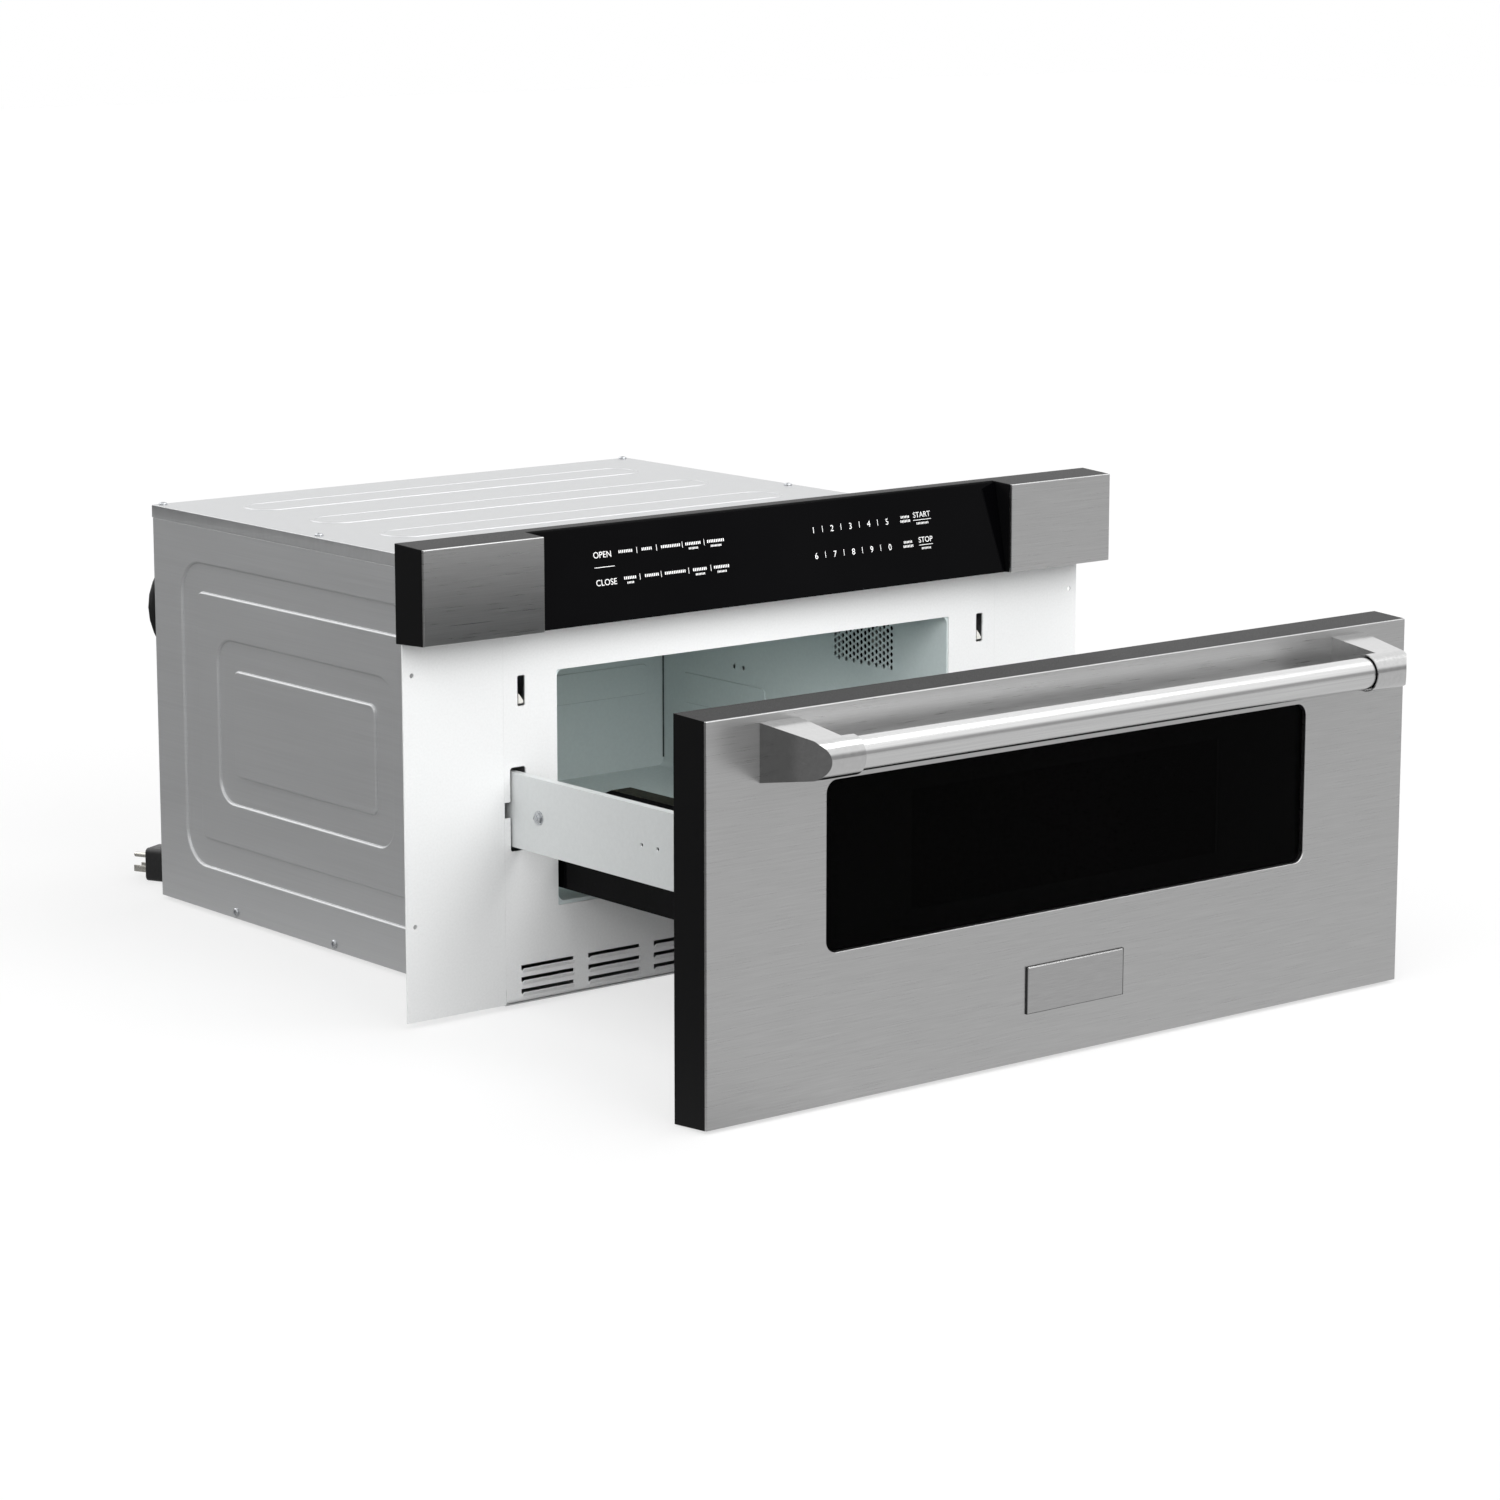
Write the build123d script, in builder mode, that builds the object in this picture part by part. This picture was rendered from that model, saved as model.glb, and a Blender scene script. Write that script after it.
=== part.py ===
from build123d import *
import os
from math import acos, atan2, ceil, cos, hypot, pi, radians, sin, sqrt, tan

os.makedirs("parts", exist_ok=True)

# A built-in microwave oven whose cavity is loaded through a motor-driven drawer. It is shown with the
# drawer run out to its stop. +Y points to the back, +X to the right, +Z up, and the origin is the
# centre of the pressed field that the steel case stands on.

# ---------------------------------------------------------------- steel case
case_width = 549.0
case_depth = 548.0
case_height = 367.2
stand_off = 4.0            # how far the base's pressed field reaches below the case's bottom edge
sheet = 1.2                # galvanised steel sheet of the case
seat_gap = 0.1             # between sheets that lie on each other
clear = 0.3                # between pieces that meet but aren't clamped together

base_field_width = 440.0
base_field_depth = 430.0
base_field_radius = 24.0
base_field_draft = 20.0    # degrees
base_lip = 16.0

lid_lip = 11.5
bead_length = 444.0
bead_width = 49.0
bead_height = 0.9
bead_draft = 35.0          # degrees
bead_pitch = 110.4
bead_first = 194.0         # rearmost bead, from the middle of the case
bead_count = 4

ring_y = 29.0
ring_z = 181.5
ring_depth = 2.4
ring_band = 26.0
ring_outer = (395.0, 281.0, 31.0)      # length, height, corner radius
ring_inner = (278.0, 150.0, 22.0)

screw_head = 8.0
screw_rise = 2.2

vent_slot_length = 46.0
vent_slot_height = 4.0
vent_slot_pitch = 11.0
vent_slot_rows = 8

# ---------------------------------------------------------------- white front
front_sheet = 1.5
wing_width = 750.0         # over both mounting flanges
front_bottom = 1.3         # above the case's bottom edge
front_return = 11.0        # lip bent back along the bottom
flange_hole = 4.4
flange_hole_x = 366.0
flange_hole_low = 82.1
flange_hole_pitch = 210.4
latch_x = 256.0
latch_z = 268.0
latch_slot_width = 8.0
latch_slot_height = 26.0
louvre_length = 55.5
louvre_height = 4.2
louvre_pitch_x = 70.5
louvre_pitch_z = 10.3
louvre_first_x = 231.0     # middle of the outer group
louvre_first_z = 10.6
louvre_groups = 3          # on each side
louvre_hood = 2.2          # how far the hood's upper edge stands out
louvre_drop = 3.5          # hood's foot below its upper edge

# ---------------------------------------------------------------- oven cavity
cavity_width = 436.0
cavity_depth = 416.0
cavity_height = 199.0
cavity_floor = 82.6        # above the case's bottom edge
cavity_sheet = 1.0
cavity_lip = 12.0
opening_margin = 1.2       # white front's opening is this much wider than the cavity on each side
opening_sill = 3.2         # front's opening reaches this far below the cavity floor
opening_radius = 1.5
screen_y = -157.0
screen_rows = 8
screen_columns = 16
screen_pitch = 6.1
screen_hole = 2.3
screen_top = 186.0         # above the cavity floor
stirrer_y = -62.0
feed_y = 40.0
feed_width = 78.0
feed_length = 40.0

# ---------------------------------------------------------------- control panel
panel_width = 759.0
control_bottom = 322.3     # above the case's bottom edge
control_height = 79.0
control_depth = 38.3
end_block = 120.6
shell_draft = 2.7          # degrees, both black shells widen towards the back
shell_wall = 3.0
skin = 0.8                 # stainless sheet
skin_wrap = 2.6
glass_lean_top = 22.2      # glass front behind the block's face, at the top
glass_lean_bottom = 6.2
control_glass_thick = 4.0
board_width = 300.0
board_height = 52.0
board_thick = 1.6

# ---------------------------------------------------------------- drawer front
drawer_bottom = -1.1       # above the case's bottom edge
drawer_height = 315.3
drawer_depth = 37.2
drawer_shut_gap = 0.9
opening_travel = 364.0
window_width = 523.0
window_height = 135.5
window_low = 120.2         # above the drawer front's lower edge
window_radius = 10.0
glass_recess = 5.0
window_glass_thick = 4.0
window_lap = 12.0
screen_panel_width = 336.0
screen_panel_height = 96.0
badge_width = 105.0
badge_height = 39.0
badge_thick = 2.6
badge_bevel = 1.6
badge_z = 58.4             # above the drawer front's lower edge

# ---------------------------------------------------------------- handle
bar_radius = 13.4
bar_reach = 49.6           # bar's axis in front of the drawer's face
bar_z = 286.3              # above the drawer front's lower edge
sleeve_radius = 15.6
sleeve_hole = 14.6
sleeve_recess = 10.0
sleeve_end = 278.0
bracket_inner = 290.0
bracket_root = 328.0
bracket_tip = 318.4
bracket_bevel = 7.0
bracket_root_top = 22.6    # above the bar's axis, at the face
bracket_root_bottom = 23.7

# ---------------------------------------------------------------- drawer basket and runners
basket_half = 215.0
basket_wall = 3.0
basket_low = 94.0          # above the case's bottom edge
cheek_height = 95.0
cheek_width = 20.0
cheek_back = 310.0         # from the drawer front's back
cheek_round = 14.0
tub_height = 34.0
basket_length = 386.0
tray_thick = 5.0

arm_face = 266.0           # outer face, from the middle
arm_flange = 8.0
arm_sheet = 1.4
arm_height = 63.4
arm_middle = 168.0         # above the case's bottom edge
arm_length = 440.0
arm_hole_clear = 4.2
arm_hole_out = 2.3
arm_hole_in = 6.0
notch_height = 13.5
notch_depth = 5.9
bolt_y = 328.0             # from the drawer front's back

roller_radius = 9.5
roller_width = 5.6
pin_radius = 2.5
pin_play = 0.06
rail_web = 245.0
rail_sheet = 1.5
rail_length = 468.0
rear_roller_in = 16.0      # from the arm's rear end
front_roller_y = 22.0      # behind the white front

# ---------------------------------------------------------------- rack drive
gear_module = 1.5
pinion_teeth = 16
pinion_width = 5.0
pinion_bore = 3.0
rack_width = 5.0
rack_body = 5.6
rack_inner = 253.0
pressure_angle = 20.0
backlash = 0.16
drive_y = 36.0             # pinion behind the white front
gearbox_radius = 21.0
gearbox_length = 20.0

# ---------------------------------------------------------------- power cord
cord_radius = 4.0
cord_gland_x = -205.0
cord_gland_z = 329.5
coil_radius = 44.0
coil_pitch = 8.7           # between neighbouring turns
coil_rise = 8.7            # between the two layers
coil_x = -110.0
coil_y = 339.4

# ---------------------------------------------------------------- places worked out from the sizes
case_half = case_width / 2
case_front = -case_depth / 2
case_back = case_depth / 2
case_bottom = stand_off
case_top = case_bottom + case_height
front_back = case_front + front_sheet
rear_face = case_back - sheet
lid_seam = case_top - lid_lip

floor_z = case_bottom + cavity_floor
roof_z = floor_z + cavity_height
cavity_half = cavity_width / 2
cavity_back = case_front + cavity_depth
cavity_out = cavity_half + cavity_sheet

control_low = case_bottom + control_bottom
control_top = control_low + control_height
control_mid = (control_low + control_top) / 2
control_face = case_front - control_depth
control_end = panel_width / 2

shell_back = case_front - drawer_shut_gap - opening_travel
drawer_face = shell_back - drawer_depth
drawer_low = case_bottom + drawer_bottom
drawer_mid = drawer_low + drawer_height / 2
window_mid = drawer_low + window_low + window_height / 2

arm_z = case_bottom + arm_middle
arm_top = arm_z + arm_height / 2
arm_low = arm_z - arm_height / 2
arm_back = shell_back + arm_length
roller_front_z = arm_top - arm_sheet - clear - roller_radius
basket_z = case_bottom + basket_low


# ================================================================ case

# Base pan: a flat rim with side lips, and a pressed field in the middle that the oven stands on.
with BuildPart() as base_plate:
    rim_width = case_width - 2 * (sheet + seat_gap)
    rim_depth = case_depth - front_sheet - sheet - 2 * seat_gap
    rim_y = (front_back + rear_face) / 2
    with BuildSketch(Plane.XY.offset(case_bottom)):
        with Locations((0, rim_y)):
            Rectangle(rim_width, rim_depth)
    extrude(amount=sheet)
    with BuildSketch(Plane.XY):
        RectangleRounded(base_field_width, base_field_depth, base_field_radius)
    extrude(amount=stand_off + sheet, taper=-base_field_draft)
    with BuildSketch(Plane.XY.offset(sheet)):
        RectangleRounded(base_field_width, base_field_depth, base_field_radius)
    extrude(amount=stand_off + sheet, taper=-base_field_draft, mode=Mode.SUBTRACT)
    with BuildSketch(Plane.XY.offset(case_bottom)):
        with Locations((-(rim_width - sheet) / 2, rim_y), ((rim_width - sheet) / 2, rim_y)):
            Rectangle(sheet, rim_depth)
    extrude(amount=base_lip)
base_plate.part.label = "base_plate"
export_step(base_plate.part, "parts/base_plate.step")


def ring_sketch(plane, length, height, radius, grow):
    """Rounded ring of the side panel's pressing, grown all round by grow."""
    with BuildSketch(plane) as ring:
        RectangleRounded(length + 2 * grow, height + 2 * grow, radius + grow)
        band = ring_band + grow
        RectangleRounded(
            length - 2 * band, height - 2 * band, max(radius - band, 8.0), mode=Mode.SUBTRACT
        )
    return ring.sketch


def side_panel(side):
    """Side of the case, with two concentric ring beads pressed inwards and a joggle under the lid."""
    outer = side * case_half
    joggle = sheet + seat_gap
    with BuildPart() as panel:
        with BuildSketch(Plane.XZ.offset(-front_back)):
            with BuildLine():
                Polyline(
                    (outer, case_bottom),
                    (outer, lid_seam - clear),
                    (outer - side * joggle, lid_seam - clear),
                    (outer - side * joggle, case_top - sheet - clear),
                    (outer - side * (joggle + sheet), case_top - sheet - clear),
                    (outer - side * (joggle + sheet), lid_seam - clear - sheet),
                    (outer - side * sheet, lid_seam - clear - sheet),
                    (outer - side * sheet, case_bottom),
                    close=True,
                )
            make_face()
        extrude(amount=-(rear_face - front_back))
        face_plane = Plane(origin=(outer, ring_y, ring_z + stand_off), x_dir=(0, 1, 0), z_dir=(side, 0, 0))
        for length, height, radius in (ring_outer, ring_inner):
            backing = ring_sketch(face_plane.offset(-sheet), length, height, radius, sheet)
            extrude(backing, amount=-ring_depth)
            channel = ring_sketch(face_plane, length, height, radius, 0)
            extrude(channel, amount=-ring_depth, mode=Mode.SUBTRACT)
    return panel


for side, name in ((-1, "side_panel_left"), (1, "side_panel_right")):
    side_cover = side_panel(side)
    side_cover.part.label = name
    export_step(side_cover.part, f"parts/{name}.step")

# Lid: one folded sheet whose side lips hang over the side panels, stiffened by four long beads.
with BuildPart() as top_cover:
    with BuildSketch(Plane.XZ.offset(-front_back)):
        with BuildLine():
            Polyline(
                (-case_half, lid_seam),
                (-case_half, case_top),
                (case_half, case_top),
                (case_half, lid_seam),
                (case_half - sheet, lid_seam),
                (case_half - sheet, case_top - sheet),
                (-case_half + sheet, case_top - sheet),
                (-case_half + sheet, lid_seam),
                close=True,
            )
        make_face()
    extrude(amount=-(case_back - front_back))
    bead_places = [(0, bead_first - row * bead_pitch) for row in range(bead_count)]
    with BuildSketch(Plane.XY.offset(case_top)):
        with Locations(*bead_places):
            SlotOverall(bead_length, bead_width)
    extrude(amount=bead_height, taper=bead_draft)
    with BuildSketch(Plane.XY.offset(case_top - sheet)):
        with Locations(*bead_places):
            SlotOverall(bead_length - 2 * sheet, bead_width - 2 * sheet)
    extrude(amount=bead_height, taper=bead_draft, mode=Mode.SUBTRACT)
top_cover.part.label = "top_cover"
export_step(top_cover.part, "parts/top_cover.step")

# Back of the case, with two fields of ventilation slots and the hole for the cord's gland.
vent_x = (-120.0, 150.0)
vent_z = case_bottom + 160.0
gland_hole = 9.0
with BuildPart() as rear_panel:
    panel_top = case_top - sheet - seat_gap
    with BuildSketch(Plane.XZ.offset(-rear_face)):
        with Locations((0, (case_bottom + panel_top) / 2)):
            Rectangle(case_width - 2 * (sheet + seat_gap), panel_top - case_bottom)
    extrude(amount=-sheet)
    with BuildSketch(Plane.XZ.offset(-case_back)):
        for middle in vent_x:
            with Locations((middle, vent_z)):
                with GridLocations(vent_slot_length + 8, vent_slot_pitch, 2, vent_slot_rows):
                    Rectangle(vent_slot_length, vent_slot_height)
        with Locations((cord_gland_x, cord_gland_z)):
            Circle(gland_hole)
    extrude(amount=2 * sheet, mode=Mode.SUBTRACT)
rear_panel.part.label = "rear_panel"
export_step(rear_panel.part, "parts/rear_panel.step")

# Pan-head screws of the case: three along each side of the lid and three along each base lip.
lid_screw_x = case_half - 8.5
lid_screw_y = (268.0, 10.0, -130.0)
base_screw_y = (144.5, -15.6, -175.7)
base_screw_z = case_bottom + 6.1
with BuildPart() as case_screws:
    for x in (-lid_screw_x, lid_screw_x):
        for y in lid_screw_y:
            with BuildSketch(Plane.XY.offset(case_top)):
                with Locations((x, y)):
                    RegularPolygon(screw_head / 2, 8)
            extrude(amount=screw_rise, taper=25)
    for side in (-1, 1):
        for y in base_screw_y:
            head_plane = Plane(origin=(side * case_half, y, base_screw_z), z_dir=(side, 0, 0))
            with BuildSketch(head_plane):
                RegularPolygon(screw_head / 2, 8)
            extrude(amount=screw_rise, taper=25)
case_screws.part.label = "case_screws"
export_step(case_screws.part, "parts/case_screws.step")


# ================================================================ white front

# Centre panel: cavity opening, runner holes, latch slots and louvres, with its lower edge bent back.
front_low = case_bottom + front_bottom
hole_out = arm_face + arm_hole_out
hole_in = arm_face - arm_flange - arm_hole_in
louvre_places = []
for side in (-1, 1):
    for group in range(louvre_groups):
        for row in range(3):
            louvre_x = side * (louvre_first_x - group * louvre_pitch_x)
            louvre_z = case_bottom + louvre_first_z + row * louvre_pitch_z
            louvre_places.append((louvre_x, louvre_z))
with BuildPart() as front_frame:
    front_top = case_top - sheet - seat_gap
    with BuildSketch(Plane.YZ.offset(-case_half + seat_gap)):
        with BuildLine():
            FilletPolyline(
                (case_front, front_top),
                (case_front, front_low),
                (case_front + front_return, front_low),
                radius=4.0,
            )
            offset(amount=front_sheet, side=Side.LEFT, closed=True)
        make_face()
    extrude(amount=case_width - 2 * seat_gap)
    with BuildSketch(Plane.XY.offset(front_low - 1)):
        for side in (-1, 1):
            with Locations((side * case_half, front_back + front_return / 2)):
                Rectangle(4 * (sheet + seat_gap), front_return)
    extrude(amount=front_sheet + 5, mode=Mode.SUBTRACT)
    with BuildSketch(Plane.XZ.offset(-case_front)):
        opening_low = floor_z - opening_sill
        with Locations((0, (opening_low + roof_z) / 2)):
            RectangleRounded(cavity_width + 2 * opening_margin, roof_z - opening_low, opening_radius)
        for side in (-1, 1):
            with Locations((side * (hole_out + hole_in) / 2, arm_z)):
                RectangleRounded(hole_out - hole_in, arm_height + 2 * arm_hole_clear, 3.0)
            with Locations((side * (hole_out + notch_depth / 2 - 1), arm_z)):
                Rectangle(notch_depth + 2, notch_height)
            with Locations((side * latch_x, case_bottom + latch_z)):
                RectangleRounded(latch_slot_width, latch_slot_height, 1.5)
        with Locations(*louvre_places):
            Rectangle(louvre_length, louvre_height)
    extrude(amount=-2 * front_sheet, mode=Mode.SUBTRACT)
    for louvre_x, louvre_z in louvre_places:
        hood_top = louvre_z + louvre_height / 2 - 2.4
        hood_foot = case_front + 0.4
        with BuildSketch(Plane.YZ.offset(louvre_x - louvre_length / 2 + 1)):
            with BuildLine():
                Polyline(
                    (hood_foot, hood_top - louvre_drop),
                    (hood_foot, hood_top - louvre_drop - sheet),
                    (case_front - louvre_hood, hood_top - 0.8),
                    (case_front - louvre_hood, hood_top),
                    close=True,
                )
            make_face()
        extrude(amount=louvre_length - 2)
front_frame.part.label = "front_frame"
export_step(front_frame.part, "parts/front_frame.step")

# Mounting flanges: flat wings with two screw holes each, spot-welded to the case sides by a return.
wing_top = case_top - 2.0
flange_return = 14.0
with BuildPart() as mounting_flanges:
    for side in (-1, 1):
        wing_in = case_half + clear
        wing_out = wing_width / 2
        with BuildSketch(Plane.XZ.offset(-case_front)):
            with Locations((side * (wing_in + wing_out) / 2, (front_low + wing_top) / 2)):
                Rectangle(wing_out - wing_in, wing_top - front_low)
            with Locations(
                (side * flange_hole_x, case_bottom + flange_hole_low + flange_hole_pitch),
                (side * flange_hole_x, case_bottom + flange_hole_low),
            ):
                Circle(flange_hole / 2, mode=Mode.SUBTRACT)
        extrude(amount=-front_sheet)
        with BuildSketch(Plane.XY.offset(base_screw_z + 8)):
            with Locations((side * (case_half + front_sheet / 2), case_front + flange_return / 2)):
                Rectangle(front_sheet, flange_return)
        extrude(amount=lid_seam - base_screw_z - 12)
mounting_flanges.part.label = "mounting_flanges"
export_step(mounting_flanges.part, "parts/mounting_flanges.step")


# ================================================================ oven cavity

# Welded box: embossed walls, a hexagon-punched air screen and two probe holes in the right wall,
# openings for the stirrer and the wave feed in the roof, and a flange behind the white front.
screen_z = floor_z + screen_top - screen_rows * screen_pitch * sqrt(3) / 4
with BuildPart() as cavity_liner:
    liner_mid = (floor_z + roof_z) / 2
    with BuildSketch(Plane.XZ.offset(-front_back)):
        with Locations((0, liner_mid)):
            RectangleRounded(2 * cavity_out, cavity_height + 2 * cavity_sheet, 7.0 + cavity_sheet)
    extrude(amount=-(cavity_back + cavity_sheet - front_back))
    with BuildSketch(Plane.XZ.offset(-front_back)):
        with Locations((0, liner_mid)):
            Rectangle(2 * (cavity_out + cavity_lip), cavity_height + 2 * (cavity_lip - 3))
    extrude(amount=-cavity_sheet)
    with BuildSketch(Plane.XZ.offset(-front_back)):
        with Locations((0, liner_mid)):
            RectangleRounded(cavity_width, cavity_height, 7.0)
    extrude(amount=-(cavity_back - front_back), mode=Mode.SUBTRACT)
    for side in (-1, 1):
        wall_plane = Plane(origin=(side * cavity_half, 0, floor_z + 82), x_dir=(0, 1, 0), z_dir=(-side, 0, 0))
        with BuildSketch(wall_plane):
            with Locations((47, 0)):
                RectangleRounded(126, 30, 6)
        extrude(amount=1.2, taper=30)
    back_plane = Plane(origin=(0, cavity_back, floor_z + 88), x_dir=(1, 0, 0), z_dir=(0, -1, 0))
    with BuildSketch(back_plane):
        RectangleRounded(396, 30, 6)
    extrude(amount=1.2, taper=30)
    screen_plane = Plane(origin=(cavity_half, screen_y, screen_z), x_dir=(0, 1, 0), z_dir=(1, 0, 0))
    with BuildSketch(screen_plane):
        with HexLocations(screen_pitch / 2, screen_columns, screen_rows):
            RegularPolygon(screen_hole, 6)
    extrude(amount=2 * cavity_sheet, both=True, mode=Mode.SUBTRACT)
    probe_plane = Plane(origin=(cavity_half, 25.0, floor_z + 112.5), x_dir=(0, 1, 0), z_dir=(1, 0, 0))
    with BuildSketch(probe_plane):
        with GridLocations(14, 1, 2, 1):
            Circle(2.2)
    extrude(amount=2 * cavity_sheet, both=True, mode=Mode.SUBTRACT)
    with BuildSketch(Plane.XY.offset(roof_z)):
        with Locations((0, stirrer_y)):
            Circle(5.0)
        with Locations((0, feed_y)):
            Rectangle(feed_width, feed_length)
    extrude(amount=2 * cavity_sheet, both=True, mode=Mode.SUBTRACT)
cavity_liner.part.label = "cavity_liner"
export_step(cavity_liner.part, "parts/cavity_liner.step")


# ================================================================ wave feed, stirrer and lamp

# Waveguide: rectangular duct from the magnetron over the cavity roof to the feed opening.
guide_width = 90.0
guide_height = 40.0
guide_front = feed_y - feed_length / 2 - 8
guide_back = cavity_back + 96.0
guide_low = roof_z + cavity_sheet
tube_y = cavity_back + 56.0
antenna_hole = 9.0
with BuildPart() as waveguide:
    with BuildSketch(Plane.XY.offset(guide_low)):
        with Locations((0, (guide_front + guide_back) / 2)):
            Rectangle(guide_width, guide_back - guide_front)
    extrude(amount=guide_height)
    with BuildSketch(Plane.XY.offset(guide_low + sheet)):
        with Locations((0, (guide_front + guide_back) / 2)):
            Rectangle(guide_width - 2 * sheet, guide_back - guide_front - 2 * sheet)
    extrude(amount=guide_height - 2 * sheet, mode=Mode.SUBTRACT)
    with BuildSketch(Plane.XY.offset(guide_low)):
        with Locations((0, feed_y)):
            Rectangle(feed_width, feed_length)
        with Locations((0, tube_y)):
            Circle(antenna_hole)
    extrude(amount=sheet, mode=Mode.SUBTRACT)
waveguide.part.label = "waveguide"
export_step(waveguide.part, "parts/waveguide.step")

# Magnetron: yoke plates round a finned anode, hung under the back end of the waveguide.
yoke_length = 84.0
yoke_width = 66.0
yoke_height = 58.0
yoke_sheet = 2.5
anode_radius = 19.0
fin_count = 5
with BuildPart() as magnetron:
    for level in (guide_low - yoke_sheet, guide_low - yoke_height):
        with BuildSketch(Plane.XY.offset(level)):
            with Locations((0, tube_y)):
                Rectangle(yoke_length, yoke_width)
        extrude(amount=yoke_sheet)
    with BuildSketch(Plane.XY.offset(guide_low - yoke_height)):
        with Locations(
            (-(yoke_length - yoke_sheet) / 2, tube_y),
            ((yoke_length - yoke_sheet) / 2, tube_y),
        ):
            Rectangle(yoke_sheet, yoke_width)
        with Locations((0, tube_y)):
            Circle(anode_radius)
    extrude(amount=yoke_height)
    for fin in range(fin_count):
        fin_z = guide_low - yoke_height + (fin + 1) * yoke_height / (fin_count + 1)
        with BuildSketch(Plane.XY.offset(fin_z)):
            with Locations((0, tube_y)):
                Rectangle(yoke_length, yoke_width - 8)
        extrude(amount=1.0)
    with BuildSketch(Plane.XY.offset(guide_low)):
        with Locations((0, tube_y)):
            Circle(antenna_hole - 1.5)
    extrude(amount=24)
    with BuildSketch(Plane.XY.offset(guide_low - yoke_height)):
        with Locations((0, tube_y)):
            RectangleRounded(44, 34, 4)
    extrude(amount=-22)
magnetron.part.label = "magnetron"
export_step(magnetron.part, "parts/magnetron.step")

# Mode stirrer: a three-bladed sheet fan under the roof, on a shaft that hangs from its motor.
shaft_radius = 3.0
stirrer_plane_z = roof_z - 12.0
stirrer_motor_radius = 24.0
stirrer_motor_height = 18.0
shaft_top = guide_low + 12.0
with BuildPart() as stirrer:
    with BuildSketch(Plane.XY.offset(stirrer_plane_z)):
        with Locations((0, stirrer_y)):
            Circle(12)
            with PolarLocations(34, 3):
                Rectangle(56, 26)
    extrude(amount=1.2)
    with BuildSketch(Plane.XY.offset(stirrer_plane_z)):
        with Locations((0, stirrer_y)):
            with PolarLocations(61, 3):
                Rectangle(2, 26)
    extrude(amount=7)
    with BuildSketch(Plane.XY.offset(stirrer_plane_z)):
        with Locations((0, stirrer_y)):
            Circle(shaft_radius)
    extrude(amount=shaft_top - stirrer_plane_z)
stirrer.part.label = "stirrer"
export_step(stirrer.part, "parts/stirrer.step")

with BuildPart() as stirrer_motor:
    with BuildSketch(Plane.XY.offset(guide_low)):
        with Locations((0, stirrer_y)):
            Circle(stirrer_motor_radius)
            with Locations((-30, 0), (30, 0)):
                SlotOverall(26, 12)
    extrude(amount=2)
    with BuildSketch(Plane.XY.offset(guide_low)):
        with Locations((0, stirrer_y)):
            Circle(stirrer_motor_radius)
    extrude(amount=stirrer_motor_height)
    with BuildSketch(Plane.XY.offset(guide_low)):
        with Locations((0, stirrer_y)):
            Circle(shaft_radius + pin_play)
    extrude(amount=shaft_top + clear - guide_low, mode=Mode.SUBTRACT)
stirrer_motor.part.label = "stirrer_motor"
export_step(stirrer_motor.part, "parts/stirrer_motor.step")

# Mica cover below the stirrer and the feed opening, on four stand-offs.
cover_z = stirrer_plane_z - 7.0
cover_y = (stirrer_y + feed_y) / 2
with BuildPart() as stirrer_cover:
    with BuildSketch(Plane.XY.offset(cover_z)):
        with Locations((0, cover_y)):
            RectangleRounded(220, 260, 16)
    extrude(amount=1.0)
    with BuildSketch(Plane.XY.offset(cover_z)):
        with Locations((0, cover_y)):
            with GridLocations(200, 240, 2, 2):
                RegularPolygon(4, 8)
    extrude(amount=roof_z - cover_z)
stirrer_cover.part.label = "stirrer_cover"
export_step(stirrer_cover.part, "parts/stirrer_cover.step")

# Lamp box on the right wall: a folded sheet hood with a bulb on its far wall.
lamp_length = 60.0
lamp_height = 34.0
lamp_reach = 30.0
lamp_z = screen_z - 4
with BuildPart() as lamp_hood:
    with BuildSketch(Plane.YZ.offset(cavity_out)):
        with Locations((screen_y, lamp_z)):
            Rectangle(lamp_length, lamp_height)
    extrude(amount=lamp_reach)
    with BuildSketch(Plane.YZ.offset(cavity_out)):
        with Locations((screen_y, lamp_z)):
            Rectangle(lamp_length - 2 * sheet, lamp_height - 2 * sheet)
    extrude(amount=lamp_reach - sheet, mode=Mode.SUBTRACT)
lamp_hood.part.label = "lamp_hood"
export_step(lamp_hood.part, "parts/lamp_hood.step")

lamp_wall = cavity_out + lamp_reach - sheet
bulb_radius = 8.0
with BuildPart() as cavity_lamp:
    with BuildSketch(Plane.YZ.offset(lamp_wall)):
        with Locations((screen_y, lamp_z)):
            Circle(bulb_radius)
    extrude(amount=-20)
    chamfer(cavity_lamp.edges().sort_by(Axis.X)[0], length=bulb_radius - 3)
    with BuildSketch(Plane.YZ.offset(lamp_wall)):
        with Locations((screen_y, lamp_z)):
            Circle(bulb_radius + 2)
    extrude(amount=-8)
cavity_lamp.part.label = "cavity_lamp"
export_step(cavity_lamp.part, "parts/cavity_lamp.step")


# ================================================================ machine space behind the cavity

# Power transformer: laminated core with two windings and foot rails, on the base's pressed field.
core_x = 150.0
core_y = 180.0
core_length = 96.0
core_depth = 62.0
core_height = 82.0
with BuildPart() as power_transformer:
    with BuildSketch(Plane.XY.offset(sheet)):
        with Locations((core_x, core_y)):
            Rectangle(core_length + 14, core_depth - 8)
    extrude(amount=3)
    with BuildSketch(Plane.XY.offset(sheet)):
        with Locations((core_x, core_y)):
            Rectangle(core_length, core_depth - 14)
    extrude(amount=core_height)
    for winding_z in (sheet + 27, sheet + 57):
        with BuildSketch(Plane.XY.offset(winding_z - 11)):
            with Locations((core_x, core_y)):
                RectangleRounded(core_length - 26, core_depth, 9)
        extrude(amount=22)
power_transformer.part.label = "power_transformer"
export_step(power_transformer.part, "parts/power_transformer.step")

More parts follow.
